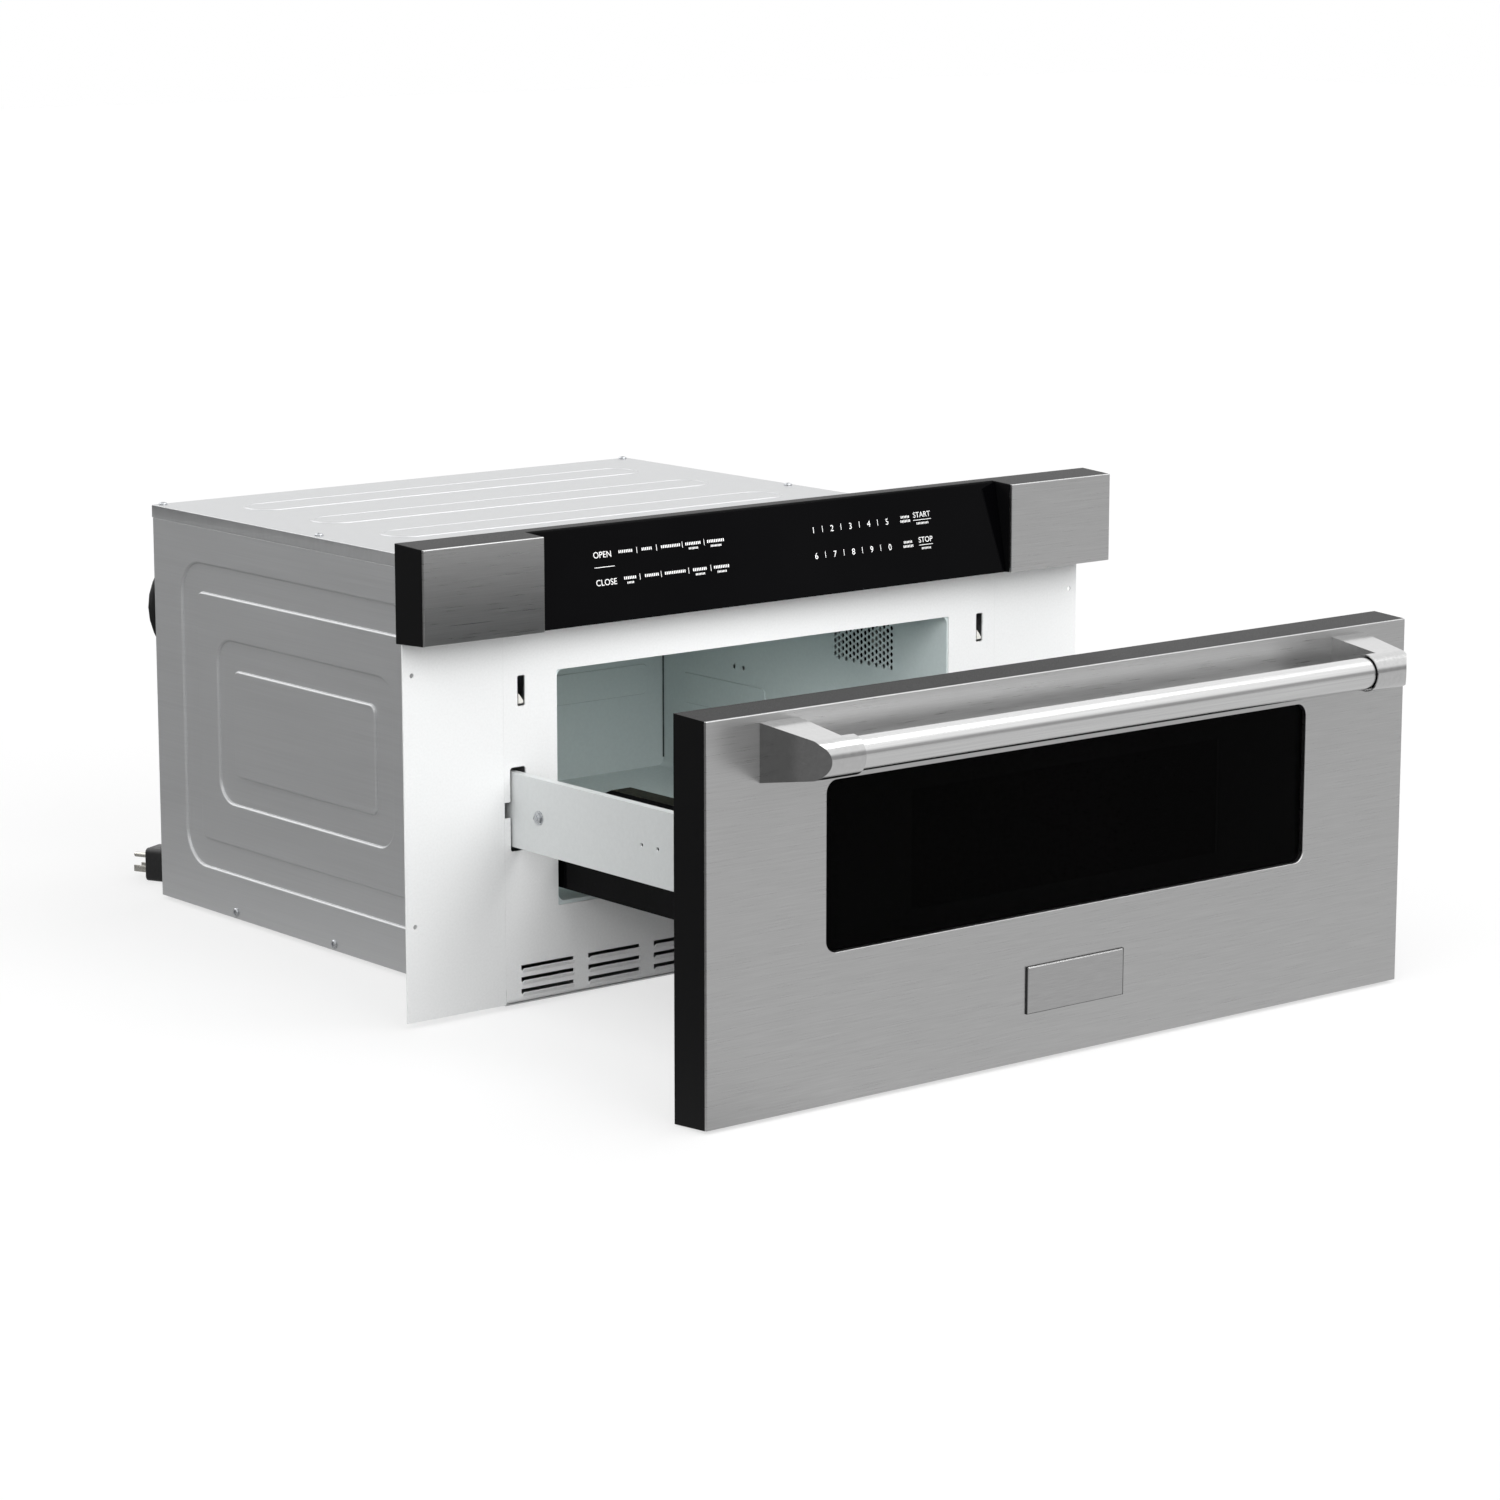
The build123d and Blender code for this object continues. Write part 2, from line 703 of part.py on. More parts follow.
# High-voltage capacitor: oval can with two spade terminals.
with BuildPart() as capacitor:
    with BuildSketch(Plane.XY.offset(sheet)):
        with Locations((56, core_y)):
            SlotOverall(54, 32, rotation=90)
    extrude(amount=84)
    with BuildSketch(Plane.XY.offset(sheet + 84)):
        with Locations((56, core_y - 12), (56, core_y + 12)):
            Rectangle(1.6, 8)
    extrude(amount=10)
capacitor.part.label = "capacitor"
export_step(capacitor.part, "parts/capacitor.step")

# Cooling blower: scroll housing against the rear panel, a drum wheel with curved blades, and its motor.
wheel_radius = 46.0
wheel_bore_radius = 35.0
wheel_width = 44.0
wheel_blades = 24
wheel_gap = 5.0
scroll_growth = 4.5        # per quarter turn
scroll_wall = 2.0
outlet_height = 104.0
blower_x = -120.0
blower_z = 98.0
scroll_reach = wheel_radius + wheel_gap + 2 * scroll_growth + scroll_wall
blower_y = rear_face - scroll_reach
scroll_width = wheel_width + 12.0
scroll_low_x = blower_x - scroll_width / 2


def scroll_point(turn):
    """Point of the scroll's inner wall, turn degrees after its tongue, as (y, z)."""
    reach = wheel_radius + wheel_gap + scroll_growth * turn / 90
    angle = radians(180 + turn)
    return (blower_y + reach * cos(angle), blower_z + reach * sin(angle))


def scroll_outline(start_x, outlet_z, grow):
    """Face of the scroll, a spiral that opens into an upright outlet, grown all round by grow."""
    with BuildSketch(Plane.YZ.offset(start_x)) as outline:
        with BuildLine():
            for turn in (-90, 0, 90):
                ThreePointArc(scroll_point(turn), scroll_point(turn + 45), scroll_point(turn + 90))
            Polyline(
                scroll_point(180),
                (scroll_point(180)[0], outlet_z),
                (scroll_point(-90)[0] + wheel_gap, outlet_z),
                scroll_point(-90),
            )
        make_face()
        if grow > 0:
            offset(amount=grow, kind=Kind.INTERSECTION)
    return outline.sketch


with BuildPart() as blower_housing:
    outlet_top = blower_z + outlet_height
    outer_scroll = scroll_outline(scroll_low_x, outlet_top, scroll_wall)
    extrude(outer_scroll, amount=scroll_width)
    inner_scroll = scroll_outline(scroll_low_x + scroll_wall, outlet_top + 2 * scroll_wall, 0)
    extrude(inner_scroll, amount=scroll_width - 2 * scroll_wall, mode=Mode.SUBTRACT)
    with BuildSketch(Plane.YZ.offset(scroll_low_x)):
        with Locations((blower_y, blower_z)):
            Circle(wheel_bore_radius - 2)
    extrude(amount=scroll_wall, mode=Mode.SUBTRACT)
    with BuildSketch(Plane.YZ.offset(scroll_low_x + scroll_width)):
        with Locations((blower_y, blower_z)):
            Circle(shaft_radius + 2)
    extrude(amount=-scroll_wall, mode=Mode.SUBTRACT)
blower_housing.part.label = "blower_housing"
export_step(blower_housing.part, "parts/blower_housing.step")

wheel_low_x = blower_x - wheel_width / 2
blower_shaft_end = scroll_low_x + scroll_width + 12
with BuildPart() as blower_wheel:
    with BuildSketch(Plane.YZ.offset(wheel_low_x + wheel_width - 2)):
        with Locations((blower_y, blower_z)):
            Circle(wheel_radius)
    extrude(amount=2)
    with BuildSketch(Plane.YZ.offset(wheel_low_x)):
        with Locations((blower_y, blower_z)):
            Circle(wheel_radius)
            Circle(wheel_bore_radius, mode=Mode.SUBTRACT)
    extrude(amount=2)
    blade_middle = (wheel_radius + wheel_bore_radius) / 2
    with BuildSketch(Plane.YZ.offset(wheel_low_x)):
        with Locations((blower_y, blower_z)):
            with PolarLocations(blade_middle, wheel_blades):
                Rectangle(wheel_radius - wheel_bore_radius - 1, 1.6, rotation=38)
    extrude(amount=wheel_width)
    with BuildSketch(Plane.YZ.offset(wheel_low_x + wheel_width - 2 - 14)):
        with Locations((blower_y, blower_z)):
            Circle(9)
    extrude(amount=16)
    with BuildSketch(Plane.YZ.offset(wheel_low_x + wheel_width)):
        with Locations((blower_y, blower_z)):
            Circle(shaft_radius)
    extrude(amount=blower_shaft_end - wheel_low_x - wheel_width)
blower_wheel.part.label = "blower_wheel"
export_step(blower_wheel.part, "parts/blower_wheel.step")

motor_length = 34.0
with BuildPart() as blower_motor:
    motor_x = scroll_low_x + scroll_width
    with BuildSketch(Plane.YZ.offset(motor_x)):
        with Locations((blower_y, blower_z)):
            RectangleRounded(58, 52, 5)
    extrude(amount=motor_length)
    with BuildSketch(Plane.YZ.offset(motor_x)):
        with Locations((blower_y, blower_z)):
            Circle(shaft_radius + pin_play)
    extrude(amount=blower_shaft_end + clear - motor_x, mode=Mode.SUBTRACT)
    with BuildSketch(Plane.YZ.offset(motor_x + motor_length)):
        with Locations((blower_y, blower_z)):
            Circle(16)
    extrude(amount=6)
blower_motor.part.label = "blower_motor"
export_step(blower_motor.part, "parts/blower_motor.step")


# ================================================================ runners

# Fixed rail on each cavity wall: a channel for the rear roller, a raised front end that carries the
# front roller's pin, and three box-section legs.
rail_half = roller_radius + clear + rail_sheet
rail_front = front_back + seat_gap
front_pin_y = case_front + front_roller_y
rail_lip = arm_face - arm_flange - 1.0
leg_places = (-205.0, -60.0, 90.0)
pin_shoulder = 4.0
front_pin_end = arm_face - arm_sheet - clear
front_roller_out = front_pin_end - 0.4
for side, name in ((-1, "rail_left"), (1, "rail_right")):
    with BuildPart() as rail:
        with BuildSketch(Plane.XZ.offset(-rail_front)):
            with BuildLine():
                Polyline(
                    (side * rail_lip, arm_z + rail_half),
                    (side * rail_web, arm_z + rail_half),
                    (side * rail_web, arm_z - rail_half),
                    (side * rail_lip, arm_z - rail_half),
                    (side * rail_lip, arm_z - rail_half + rail_sheet),
                    (side * (rail_web + rail_sheet), arm_z - rail_half + rail_sheet),
                    (side * (rail_web + rail_sheet), arm_z + rail_half - rail_sheet),
                    (side * rail_lip, arm_z + rail_half - rail_sheet),
                    close=True,
                )
            make_face()
        extrude(amount=-rail_length)
        with BuildSketch(Plane.YZ.offset(side * rail_web)):
            with Locations((front_pin_y, (arm_z + roller_front_z + 12) / 2)):
                RectangleRounded(2 * (front_pin_y - rail_front), roller_front_z + 12 - arm_z, 4)
        extrude(amount=side * rail_sheet)
        with BuildSketch(Plane.YZ.offset(side * rail_web)):
            with Locations((front_pin_y, roller_front_z)):
                Circle(pin_shoulder)
        extrude(amount=side * (front_roller_out - roller_width - clear - rail_web))
        with BuildSketch(Plane.YZ.offset(side * rail_web)):
            with Locations((front_pin_y, roller_front_z)):
                Circle(pin_radius)
        extrude(amount=side * (front_pin_end - rail_web))
        with BuildSketch(Plane.YZ.offset(side * cavity_out)):
            for leg in leg_places:
                with Locations((leg, arm_z)):
                    Rectangle(24, 18)
                    Rectangle(24 - 2 * rail_sheet, 18 - 2 * rail_sheet, mode=Mode.SUBTRACT)
        extrude(amount=side * (rail_web - cavity_out))
    rail.part.label = name
    export_step(rail.part, f"parts/{name}.step")

# Nylon rollers: the front pair turns on the rails' pins, the rear pair on the arms' pins.
rear_roller_y = arm_back - rear_roller_in
rear_roller_low = rail_web + rail_sheet + 3.0
for side, name in ((-1, "front_roller_left"), (1, "front_roller_right")):
    with BuildPart() as roller:
        with BuildSketch(Plane.YZ.offset(side * (front_roller_out - roller_width))):
            with Locations((front_pin_y, roller_front_z)):
                Circle(roller_radius)
                Circle(pin_radius + pin_play, mode=Mode.SUBTRACT)
        extrude(amount=side * roller_width)
    roller.part.label = name
    export_step(roller.part, f"parts/{name}.step")
for side, name in ((-1, "rear_roller_left"), (1, "rear_roller_right")):
    with BuildPart() as roller:
        with BuildSketch(Plane.YZ.offset(side * rear_roller_low)):
            with Locations((rear_roller_y, arm_z)):
                Circle(roller_radius)
                Circle(pin_radius + pin_play, mode=Mode.SUBTRACT)
        extrude(amount=side * roller_width)
    roller.part.label = name
    export_step(roller.part, f"parts/{name}.step")

# Guide shoes behind the white front, between the case sides and the upper half of the arms.
shoe_length = 24.0
shoe_height = 13.0
shoe_low = arm_z + notch_height / 2 + 6.0
with BuildPart() as guide_shoes:
    for side in (-1, 1):
        shoe_in = arm_face + clear
        shoe_out = case_half - sheet
        with BuildSketch(Plane.XY.offset(shoe_low)):
            with BuildLine():
                Polyline(
                    (side * shoe_out, front_back),
                    (side * shoe_out, front_back + shoe_length),
                    (side * (shoe_in + 3), front_back + shoe_length),
                    (side * shoe_in, front_back + shoe_length - 6),
                    (side * shoe_in, front_back + 5),
                    (side * (shoe_in + 2), front_back),
                    close=True,
                )
            make_face()
        extrude(amount=shoe_height)
guide_shoes.part.label = "guide_shoes"
export_step(guide_shoes.part, "parts/guide_shoes.step")

# Interlock: behind each latch slot a snap switch on the white front, and a pivoted lever whose
# slanted tab shows in the slot.
lever_y = front_back + 9.0
lever_z = case_bottom + latch_z - 18.0
lever_width = 5.0
lever_pin = 1.2
lever_tip = lever_z + 15.8
lever_slant = 6.5          # fall of the tab's end across its width
switch_depth = 26.0
switch_height = 14.0
switch_top = lever_z - 6.0
with BuildPart() as interlock_switches:
    for side in (-1, 1):
        with BuildSketch(Plane.YZ.offset(side * (latch_x - lever_width))):
            with Locations((front_back + switch_depth / 2, switch_top - switch_height / 2)):
                Rectangle(switch_depth, switch_height)
        extrude(amount=side * 2 * lever_width)
        for cheek in (-1, 1):
            cheek_x = side * latch_x + cheek * (lever_width / 2 + clear + 0.75) - 0.75
            with BuildSketch(Plane.YZ.offset(cheek_x)):
                with Locations((lever_y, (lever_z + switch_top) / 2)):
                    Rectangle(7, lever_z - switch_top + 7)
            extrude(amount=1.5)
        with BuildSketch(Plane.YZ.offset(side * latch_x - lever_width / 2 - 1)):
            with Locations((lever_y, lever_z)):
                Circle(lever_pin)
        extrude(amount=lever_width + 2)
interlock_switches.part.label = "interlock_switches"
export_step(interlock_switches.part, "parts/interlock_switches.step")
for side, name in ((-1, "interlock_lever_left"), (1, "interlock_lever_right")):
    with BuildPart() as lever:
        with BuildSketch(Plane.YZ.offset(side * latch_x - lever_width / 2)):
            with BuildLine():
                Polyline(
                    (lever_y - 2.6, lever_z - 2.6),
                    (lever_y + 2.6, lever_z - 2.6),
                    (lever_y + 2.6, lever_z + 5.0),
                    (lever_y - 4.0, lever_z + 14.0),
                    (case_front + 0.5, lever_tip),
                    (case_front + 0.5, lever_z + 7.4),
                    (lever_y - 2.6, lever_z + 4.0),
                    close=True,
                )
            make_face()
            with Locations((lever_y, lever_z)):
                Circle(lever_pin + pin_play, mode=Mode.SUBTRACT)
        extrude(amount=lever_width)
        with BuildSketch(Plane.XZ.offset(-lever_y)):
            with BuildLine():
                Polyline(
                    (side * latch_x - lever_width / 2, lever_tip),
                    (side * latch_x + lever_width / 2, lever_tip),
                    (side * latch_x + lever_width / 2, lever_tip - lever_slant),
                    close=True,
                )
            make_face()
        extrude(amount=lever_y - case_front, mode=Mode.SUBTRACT)
    lever.part.label = name
    export_step(lever.part, f"parts/{name}.step")


# ================================================================ rack drive

# Right arm's rack meets a pinion on a gear motor that is screwed to the cavity wall.
pitch_radius = gear_module * pinion_teeth / 2
tooth_pitch = pi * gear_module
rack_root_z = arm_low + 0.7
rack_tip_z = rack_root_z - 2.25 * gear_module
pinion_z = rack_tip_z + gear_module - pitch_radius
pinion_y = case_front + drive_y
flank = tan(radians(pressure_angle))
rack_teeth = ceil(opening_travel / tooth_pitch) + 5
rack_tail = 2              # teeth behind the pinion when the drawer is out


def involute_point(base, radius, offset_angle, hand):
    """Point of an involute flank at a radius, offset_angle from the tooth's middle on the base circle."""
    unwound = sqrt(max((radius / base) ** 2 - 1, 0.0))
    swept = unwound - atan2(unwound, 1.0)
    angle = pi / 2 + hand * (offset_angle - swept)
    return (radius * cos(angle), radius * sin(angle))


with BuildPart() as drive_pinion:
    base_radius = pitch_radius * cos(radians(pressure_angle))
    tip_radius = pitch_radius + gear_module
    root_radius = pitch_radius - 1.25 * gear_module
    pitch_unwound = sqrt((pitch_radius / base_radius) ** 2 - 1)
    half_thick = (tooth_pitch / 2 - backlash) / (2 * pitch_radius)
    base_angle = half_thick + pitch_unwound - atan2(pitch_unwound, 1.0)
    flank_radii = (base_radius, (base_radius + tip_radius) / 2, tip_radius)
    tooth_plane = Plane(
        origin=(rack_inner + 0.1, pinion_y, pinion_z), x_dir=(0, 1, 0), z_dir=(1, 0, 0)
    )
    with BuildSketch(tooth_plane):
        Circle(root_radius)
        with BuildSketch(mode=Mode.PRIVATE) as tooth:
            with BuildLine():
                right = [involute_point(base_radius, radius, base_angle, -1) for radius in flank_radii]
                left = [involute_point(base_radius, radius, base_angle, 1) for radius in flank_radii]
                foot = (root_radius - 0.5) / base_radius
                ThreePointArc(right[0], right[1], right[2])
                ThreePointArc(right[2], (0, tip_radius), left[2])
                ThreePointArc(left[2], left[1], left[0])
                Polyline(
                    left[0],
                    (left[0][0] * foot, left[0][1] * foot),
                    (right[0][0] * foot, right[0][1] * foot),
                    right[0],
                )
            make_face()
        with PolarLocations(0, pinion_teeth, start_angle=180 / pinion_teeth):
            add(tooth.sketch)
    extrude(amount=pinion_width - 0.2)
    with BuildSketch(Plane.YZ.offset(rack_inner + 0.1)):
        with Locations((pinion_y, pinion_z)):
            Circle(pinion_bore)
    extrude(amount=-18)
drive_pinion.part.label = "drive_pinion"
export_step(drive_pinion.part, "parts/drive_pinion.step")

# Rack: rest position puts the middle of one tooth straight above the pinion.
with BuildPart() as drive_rack:
    rack_last = pinion_y + (rack_tail + 0.5) * tooth_pitch
    tooth_half_root = tooth_pitch / 4 - backlash / 4 + 1.25 * gear_module * flank
    tooth_half_tip = tooth_pitch / 4 - backlash / 4 - gear_module * flank
    outline = [(rack_last, rack_root_z + rack_body), (rack_last, rack_root_z)]
    for tooth_index in range(rack_teeth):
        middle = pinion_y + (rack_tail - tooth_index) * tooth_pitch
        outline.append((middle + tooth_half_root, rack_root_z))
        outline.append((middle + tooth_half_tip, rack_tip_z))
        outline.append((middle - tooth_half_tip, rack_tip_z))
        outline.append((middle - tooth_half_root, rack_root_z))
    rack_first = pinion_y + (rack_tail - rack_teeth + 0.5) * tooth_pitch
    outline += [(rack_first, rack_root_z), (rack_first, rack_root_z + rack_body)]
    with BuildSketch(Plane.YZ.offset(arm_face - arm_flange)):
        with BuildLine():
            Polyline(*outline, close=True)
        make_face()
    extrude(amount=-rack_width)
    lug_low = arm_low + arm_sheet
    with BuildSketch(Plane.XY.offset(lug_low)):
        for lug in (0.04, 0.5, 0.96):
            with Locations((arm_face - arm_flange + 1.5, rack_last + lug * (rack_first - rack_last))):
                Rectangle(5, 12)
    extrude(amount=2)
drive_rack.part.label = "drive_rack"
export_step(drive_rack.part, "parts/drive_rack.step")

# Gear motor: round gearbox with a flanged foot on the cavity wall and the pinion's shaft bore.
with BuildPart() as drive_motor:
    foot_thick = 3.0
    with BuildSketch(Plane.YZ.offset(cavity_out)):
        with Locations((pinion_y, pinion_z)):
            RectangleRounded(62, 34, 5)
            with GridLocations(52, 24, 2, 2):
                Circle(1.8, mode=Mode.SUBTRACT)
    extrude(amount=foot_thick)
    with BuildSketch(Plane.YZ.offset(cavity_out)):
        with Locations((pinion_y, pinion_z)):
            Circle(gearbox_radius)
    extrude(amount=foot_thick + gearbox_length)
    with BuildSketch(Plane.YZ.offset(cavity_out + foot_thick + gearbox_length)):
        with Locations((pinion_y, pinion_z)):
            Circle(pinion_bore + pin_play)
    extrude(amount=-14, mode=Mode.SUBTRACT)
drive_motor.part.label = "drive_motor"
export_step(drive_motor.part, "parts/drive_motor.step")


# ================================================================ drawer arms

# Folded channel arm on each side, with a tab behind the drawer's inner panel and the rear roller's pin.
panel_back = shell_back - 14.8
panel_sheet = 1.2
arm_tab = 20.0
tab_inner = arm_face - arm_tab
pin_head = 1.2
for side, name in ((-1, "arm_left"), (1, "arm_right")):
    with BuildPart() as arm:
        arm_web = arm_face - arm_sheet
        arm_in = arm_face - arm_flange
        with BuildSketch(Plane.XZ.offset(-panel_back)):
            with BuildLine():
                Polyline(
                    (side * arm_in, arm_top),
                    (side * arm_face, arm_top),
                    (side * arm_face, arm_low),
                    (side * arm_in, arm_low),
                    (side * arm_in, arm_low + arm_sheet),
                    (side * arm_web, arm_low + arm_sheet),
                    (side * arm_web, arm_top - arm_sheet),
                    (side * arm_in, arm_top - arm_sheet),
                    close=True,
                )
            make_face()
        extrude(amount=-(arm_back - panel_back))
        with BuildSketch(Plane.XZ.offset(-panel_back)):
            with Locations((side * (tab_inner + arm_face) / 2, arm_z)):
                Rectangle(arm_tab, arm_height)
        extrude(amount=-arm_sheet)
        with BuildSketch(Plane.YZ.offset(side * arm_face)):
            with Locations((arm_back, arm_top), (arm_back, arm_low)):
                Rectangle(24, 12, rotation=45)
            with Locations((shell_back + 189.0, arm_z - 0.5), (shell_back + 168.0, arm_z - 0.5)):
                Circle(1.8)
        extrude(amount=-side * (arm_flange + 1), mode=Mode.SUBTRACT)
        with BuildSketch(Plane.YZ.offset(side * arm_web)):
            with Locations((rear_roller_y, arm_z)):
                Circle(pin_shoulder)
        extrude(amount=-side * (arm_web - rear_roller_low - roller_width - clear))
        with BuildSketch(Plane.YZ.offset(side * arm_web)):
            with Locations((rear_roller_y, arm_z)):
                Circle(pin_radius)
        extrude(amount=-side * (arm_web - rear_roller_low + clear + pin_head))
        with BuildSketch(Plane.YZ.offset(side * (rear_roller_low - clear))):
            with Locations((rear_roller_y, arm_z)):
                Circle(pin_shoulder)
        extrude(amount=-side * pin_head)
    arm.part.label = name
    export_step(arm.part, f"parts/{name}.step")

# Hexagon nut and washer on each arm's outer face.
nut_y = shell_back + bolt_y
with BuildPart() as arm_nuts:
    for side in (-1, 1):
        with BuildSketch(Plane.YZ.offset(side * arm_face)):
            with Locations((nut_y, arm_z - 1)):
                Circle(6.0)
        extrude(amount=side * 0.8)
        with BuildSketch(Plane.YZ.offset(side * arm_face)):
            with Locations((nut_y, arm_z - 1)):
                RegularPolygon(4.9, 6)
        extrude(amount=side * 3.6)
arm_nuts.part.label = "arm_nuts"
export_step(arm_nuts.part, "parts/arm_nuts.step")


# ================================================================ control panel

# Black plastic housing: end blocks stand forward of a middle whose wall leans back under the glass.
lean = atan2(glass_lean_top - glass_lean_bottom, control_height)
glass_run = control_glass_thick / cos(lean)
glass_half = control_end - end_block
low_front = control_face + glass_lean_bottom
top_front = control_face + glass_lean_top
with BuildPart() as control_housing:
    with BuildSketch(Plane.XZ.offset(-control_face)):
        with Locations((0, control_mid)):
            Rectangle(panel_width, control_height)
    extrude(amount=-control_depth, taper=-shell_draft)
    with BuildSketch(Plane.YZ.offset(-glass_half)):
        with BuildLine():
            Polyline(
                (control_face - 1, control_low - 5),
                (low_front + glass_run - 5 * tan(lean), control_low - 5),
                (top_front + glass_run + 5 * tan(lean), control_top + 5),
                (control_face - 1, control_top + 5),
                close=True,
            )
        make_face()
    extrude(amount=2 * glass_half, mode=Mode.SUBTRACT)
    with BuildSketch(Plane.XZ.offset(-case_front)):
        for side in (-1, 1):
            with Locations((side * (glass_half + control_end) / 2, control_mid)):
                Rectangle(end_block - 2 * shell_wall, control_height - 2 * shell_wall)
    extrude(amount=control_depth - shell_wall - skin, mode=Mode.SUBTRACT)
    wall_low = low_front + glass_run + shell_wall * (1 + tan(lean))
    wall_top = top_front + glass_run + shell_wall * (1 - tan(lean))
    with BuildSketch(Plane.YZ.offset(-glass_half + shell_wall)):
        with BuildLine():
            Polyline(
                (case_front, control_low + shell_wall),
                (wall_low, control_low + shell_wall),
                (wall_top, control_top - shell_wall),
                (case_front, control_top - shell_wall),
                close=True,
            )
        make_face()
    extrude(amount=2 * (glass_half - shell_wall), mode=Mode.SUBTRACT)
    with BuildSketch(Plane.XZ.offset(-case_front)):
        with Locations((0, (case_top + clear + control_top) / 2)):
            Rectangle(panel_width - 2, control_top - case_top - clear)
    extrude(amount=2)
    with BuildSketch(Plane.XZ.offset(-control_face + 1)):
        for side in (-1, 1):
            with Locations((side * (glass_half + control_end) / 2, control_mid)):
                Rectangle(end_block + seat_gap, control_height + 2)
    extrude(amount=-1 - skin, mode=Mode.SUBTRACT)
    with BuildSketch(Plane.XZ.offset(-control_face)):
        for side in (-1, 1):
            with Locations((side * (glass_half + control_end) / 2, control_mid)):
                Rectangle(end_block + 2, control_height + 2)
                skin_cut = 2 * (skin + seat_gap)
                Rectangle(end_block - skin_cut, control_height - skin_cut, mode=Mode.SUBTRACT)
    extrude(amount=-skin_wrap, mode=Mode.SUBTRACT)
control_housing.part.label = "control_housing"
export_step(control_housing.part, "parts/control_housing.step")

# Stainless caps over the two end blocks, with all four edges folded back.
with BuildPart() as control_trims:
    with BuildSketch(Plane.XZ.offset(-control_face)):
        for side in (-1, 1):
            with Locations((side * (glass_half + control_end) / 2, control_mid)):
                Rectangle(end_block, control_height)
    extrude(amount=-skin_wrap)
    with BuildSketch(Plane.XZ.offset(-control_face - skin)):
        for side in (-1, 1):
            with Locations((side * (glass_half + control_end) / 2, control_mid)):
                Rectangle(end_block - 2 * skin, control_height - 2 * skin)
    extrude(amount=-skin_wrap, mode=Mode.SUBTRACT)
control_trims.part.label = "control_trims"
export_step(control_trims.part, "parts/control_trims.step")

# Black touch glass, leaning back between the end blocks.
with BuildPart() as control_glass:
    with BuildSketch(Plane.YZ.offset(-glass_half + clear)):
        with BuildLine():
            Polyline(
                (low_front, control_low),
                (low_front + glass_run, control_low),
                (top_front + glass_run, control_top),
                (top_front, control_top),
                close=True,
            )
        make_face()
    extrude(amount=2 * (glass_half - clear))
control_glass.part.label = "control_glass"
export_step(control_glass.part, "parts/control_glass.step")

# Control board on four posts behind the leaning wall, with its display, relays and connector.
post_height = 4.0
board_plane = Plane(
    origin=(0, (wall_low + wall_top) / 2, control_mid), x_dir=(1, 0, 0), z_dir=(0, cos(lean), -sin(lean))
)
with BuildPart() as control_board:
    with BuildSketch(board_plane):
        with GridLocations(board_width - 16, board_height - 14, 2, 2):
            Circle(3)
    extrude(amount=post_height)
    with BuildSketch(board_plane.offset(post_height)):
        Rectangle(board_width, board_height)
    extrude(amount=board_thick)
    with BuildSketch(board_plane.offset(post_height + board_thick)):
        with Locations((-110, 6), (-86, 6), (-62, 6)):
            Rectangle(18, 14)
        with Locations((20, 0)):
            Rectangle(26, 26)
    extrude(amount=6)
    with BuildSketch(board_plane.offset(post_height)):
        with Locations((-20, 4)):
            Rectangle(120, 30)
    extrude(amount=-3)
control_board.part.label = "control_board"
export_step(control_board.part, "parts/control_board.step")


# ================================================================ drawer front

# Black plastic shell, open at the back, with the window's opening and screw posts for the inner panel.
window_cut = 2 * (skin + seat_gap)
post_z = (drawer_low + 40.0, drawer_low + drawer_height - 20.0)
panel_front = panel_back - panel_sheet
with BuildPart() as drawer_housing:
    with BuildSketch(Plane.XZ.offset(-drawer_face)):
        with Locations((0, drawer_mid)):
            Rectangle(panel_width, drawer_height)
    extrude(amount=-drawer_depth, taper=-shell_draft)
    with BuildSketch(Plane.XZ.offset(-shell_back)):
        with Locations((0, drawer_mid)):
            Rectangle(panel_width - 2 * shell_wall, drawer_height - 2 * shell_wall)
    extrude(amount=drawer_depth - glass_recess, mode=Mode.SUBTRACT)
    with BuildSketch(Plane.XZ.offset(-drawer_face - glass_recess)):
        with Locations(*[(x, z) for x in (-320.0, -110.0, 110.0, 320.0) for z in post_z]):
            Circle(5)
    extrude(amount=-(panel_front - drawer_face - glass_recess))
    with BuildSketch(Plane.XZ.offset(-drawer_face)):
        with Locations((0, window_mid)):
            RectangleRounded(window_width + window_cut, window_height + window_cut, window_radius + skin)
    extrude(amount=-glass_recess, mode=Mode.SUBTRACT)
    with BuildSketch(Plane.XZ.offset(-drawer_face + 1)):
        with Locations((0, drawer_mid)):
            Rectangle(panel_width + 2, drawer_height + 2)
    extrude(amount=-1 - skin, mode=Mode.SUBTRACT)
    with BuildSketch(Plane.XZ.offset(-drawer_face)):
        with Locations((0, drawer_mid)):
            Rectangle(panel_width + 2, drawer_height + 2)
            Rectangle(panel_width - window_cut, drawer_height - window_cut, mode=Mode.SUBTRACT)
    extrude(amount=-skin_wrap, mode=Mode.SUBTRACT)
drawer_housing.part.label = "drawer_housing"
export_step(drawer_housing.part, "parts/drawer_housing.step")

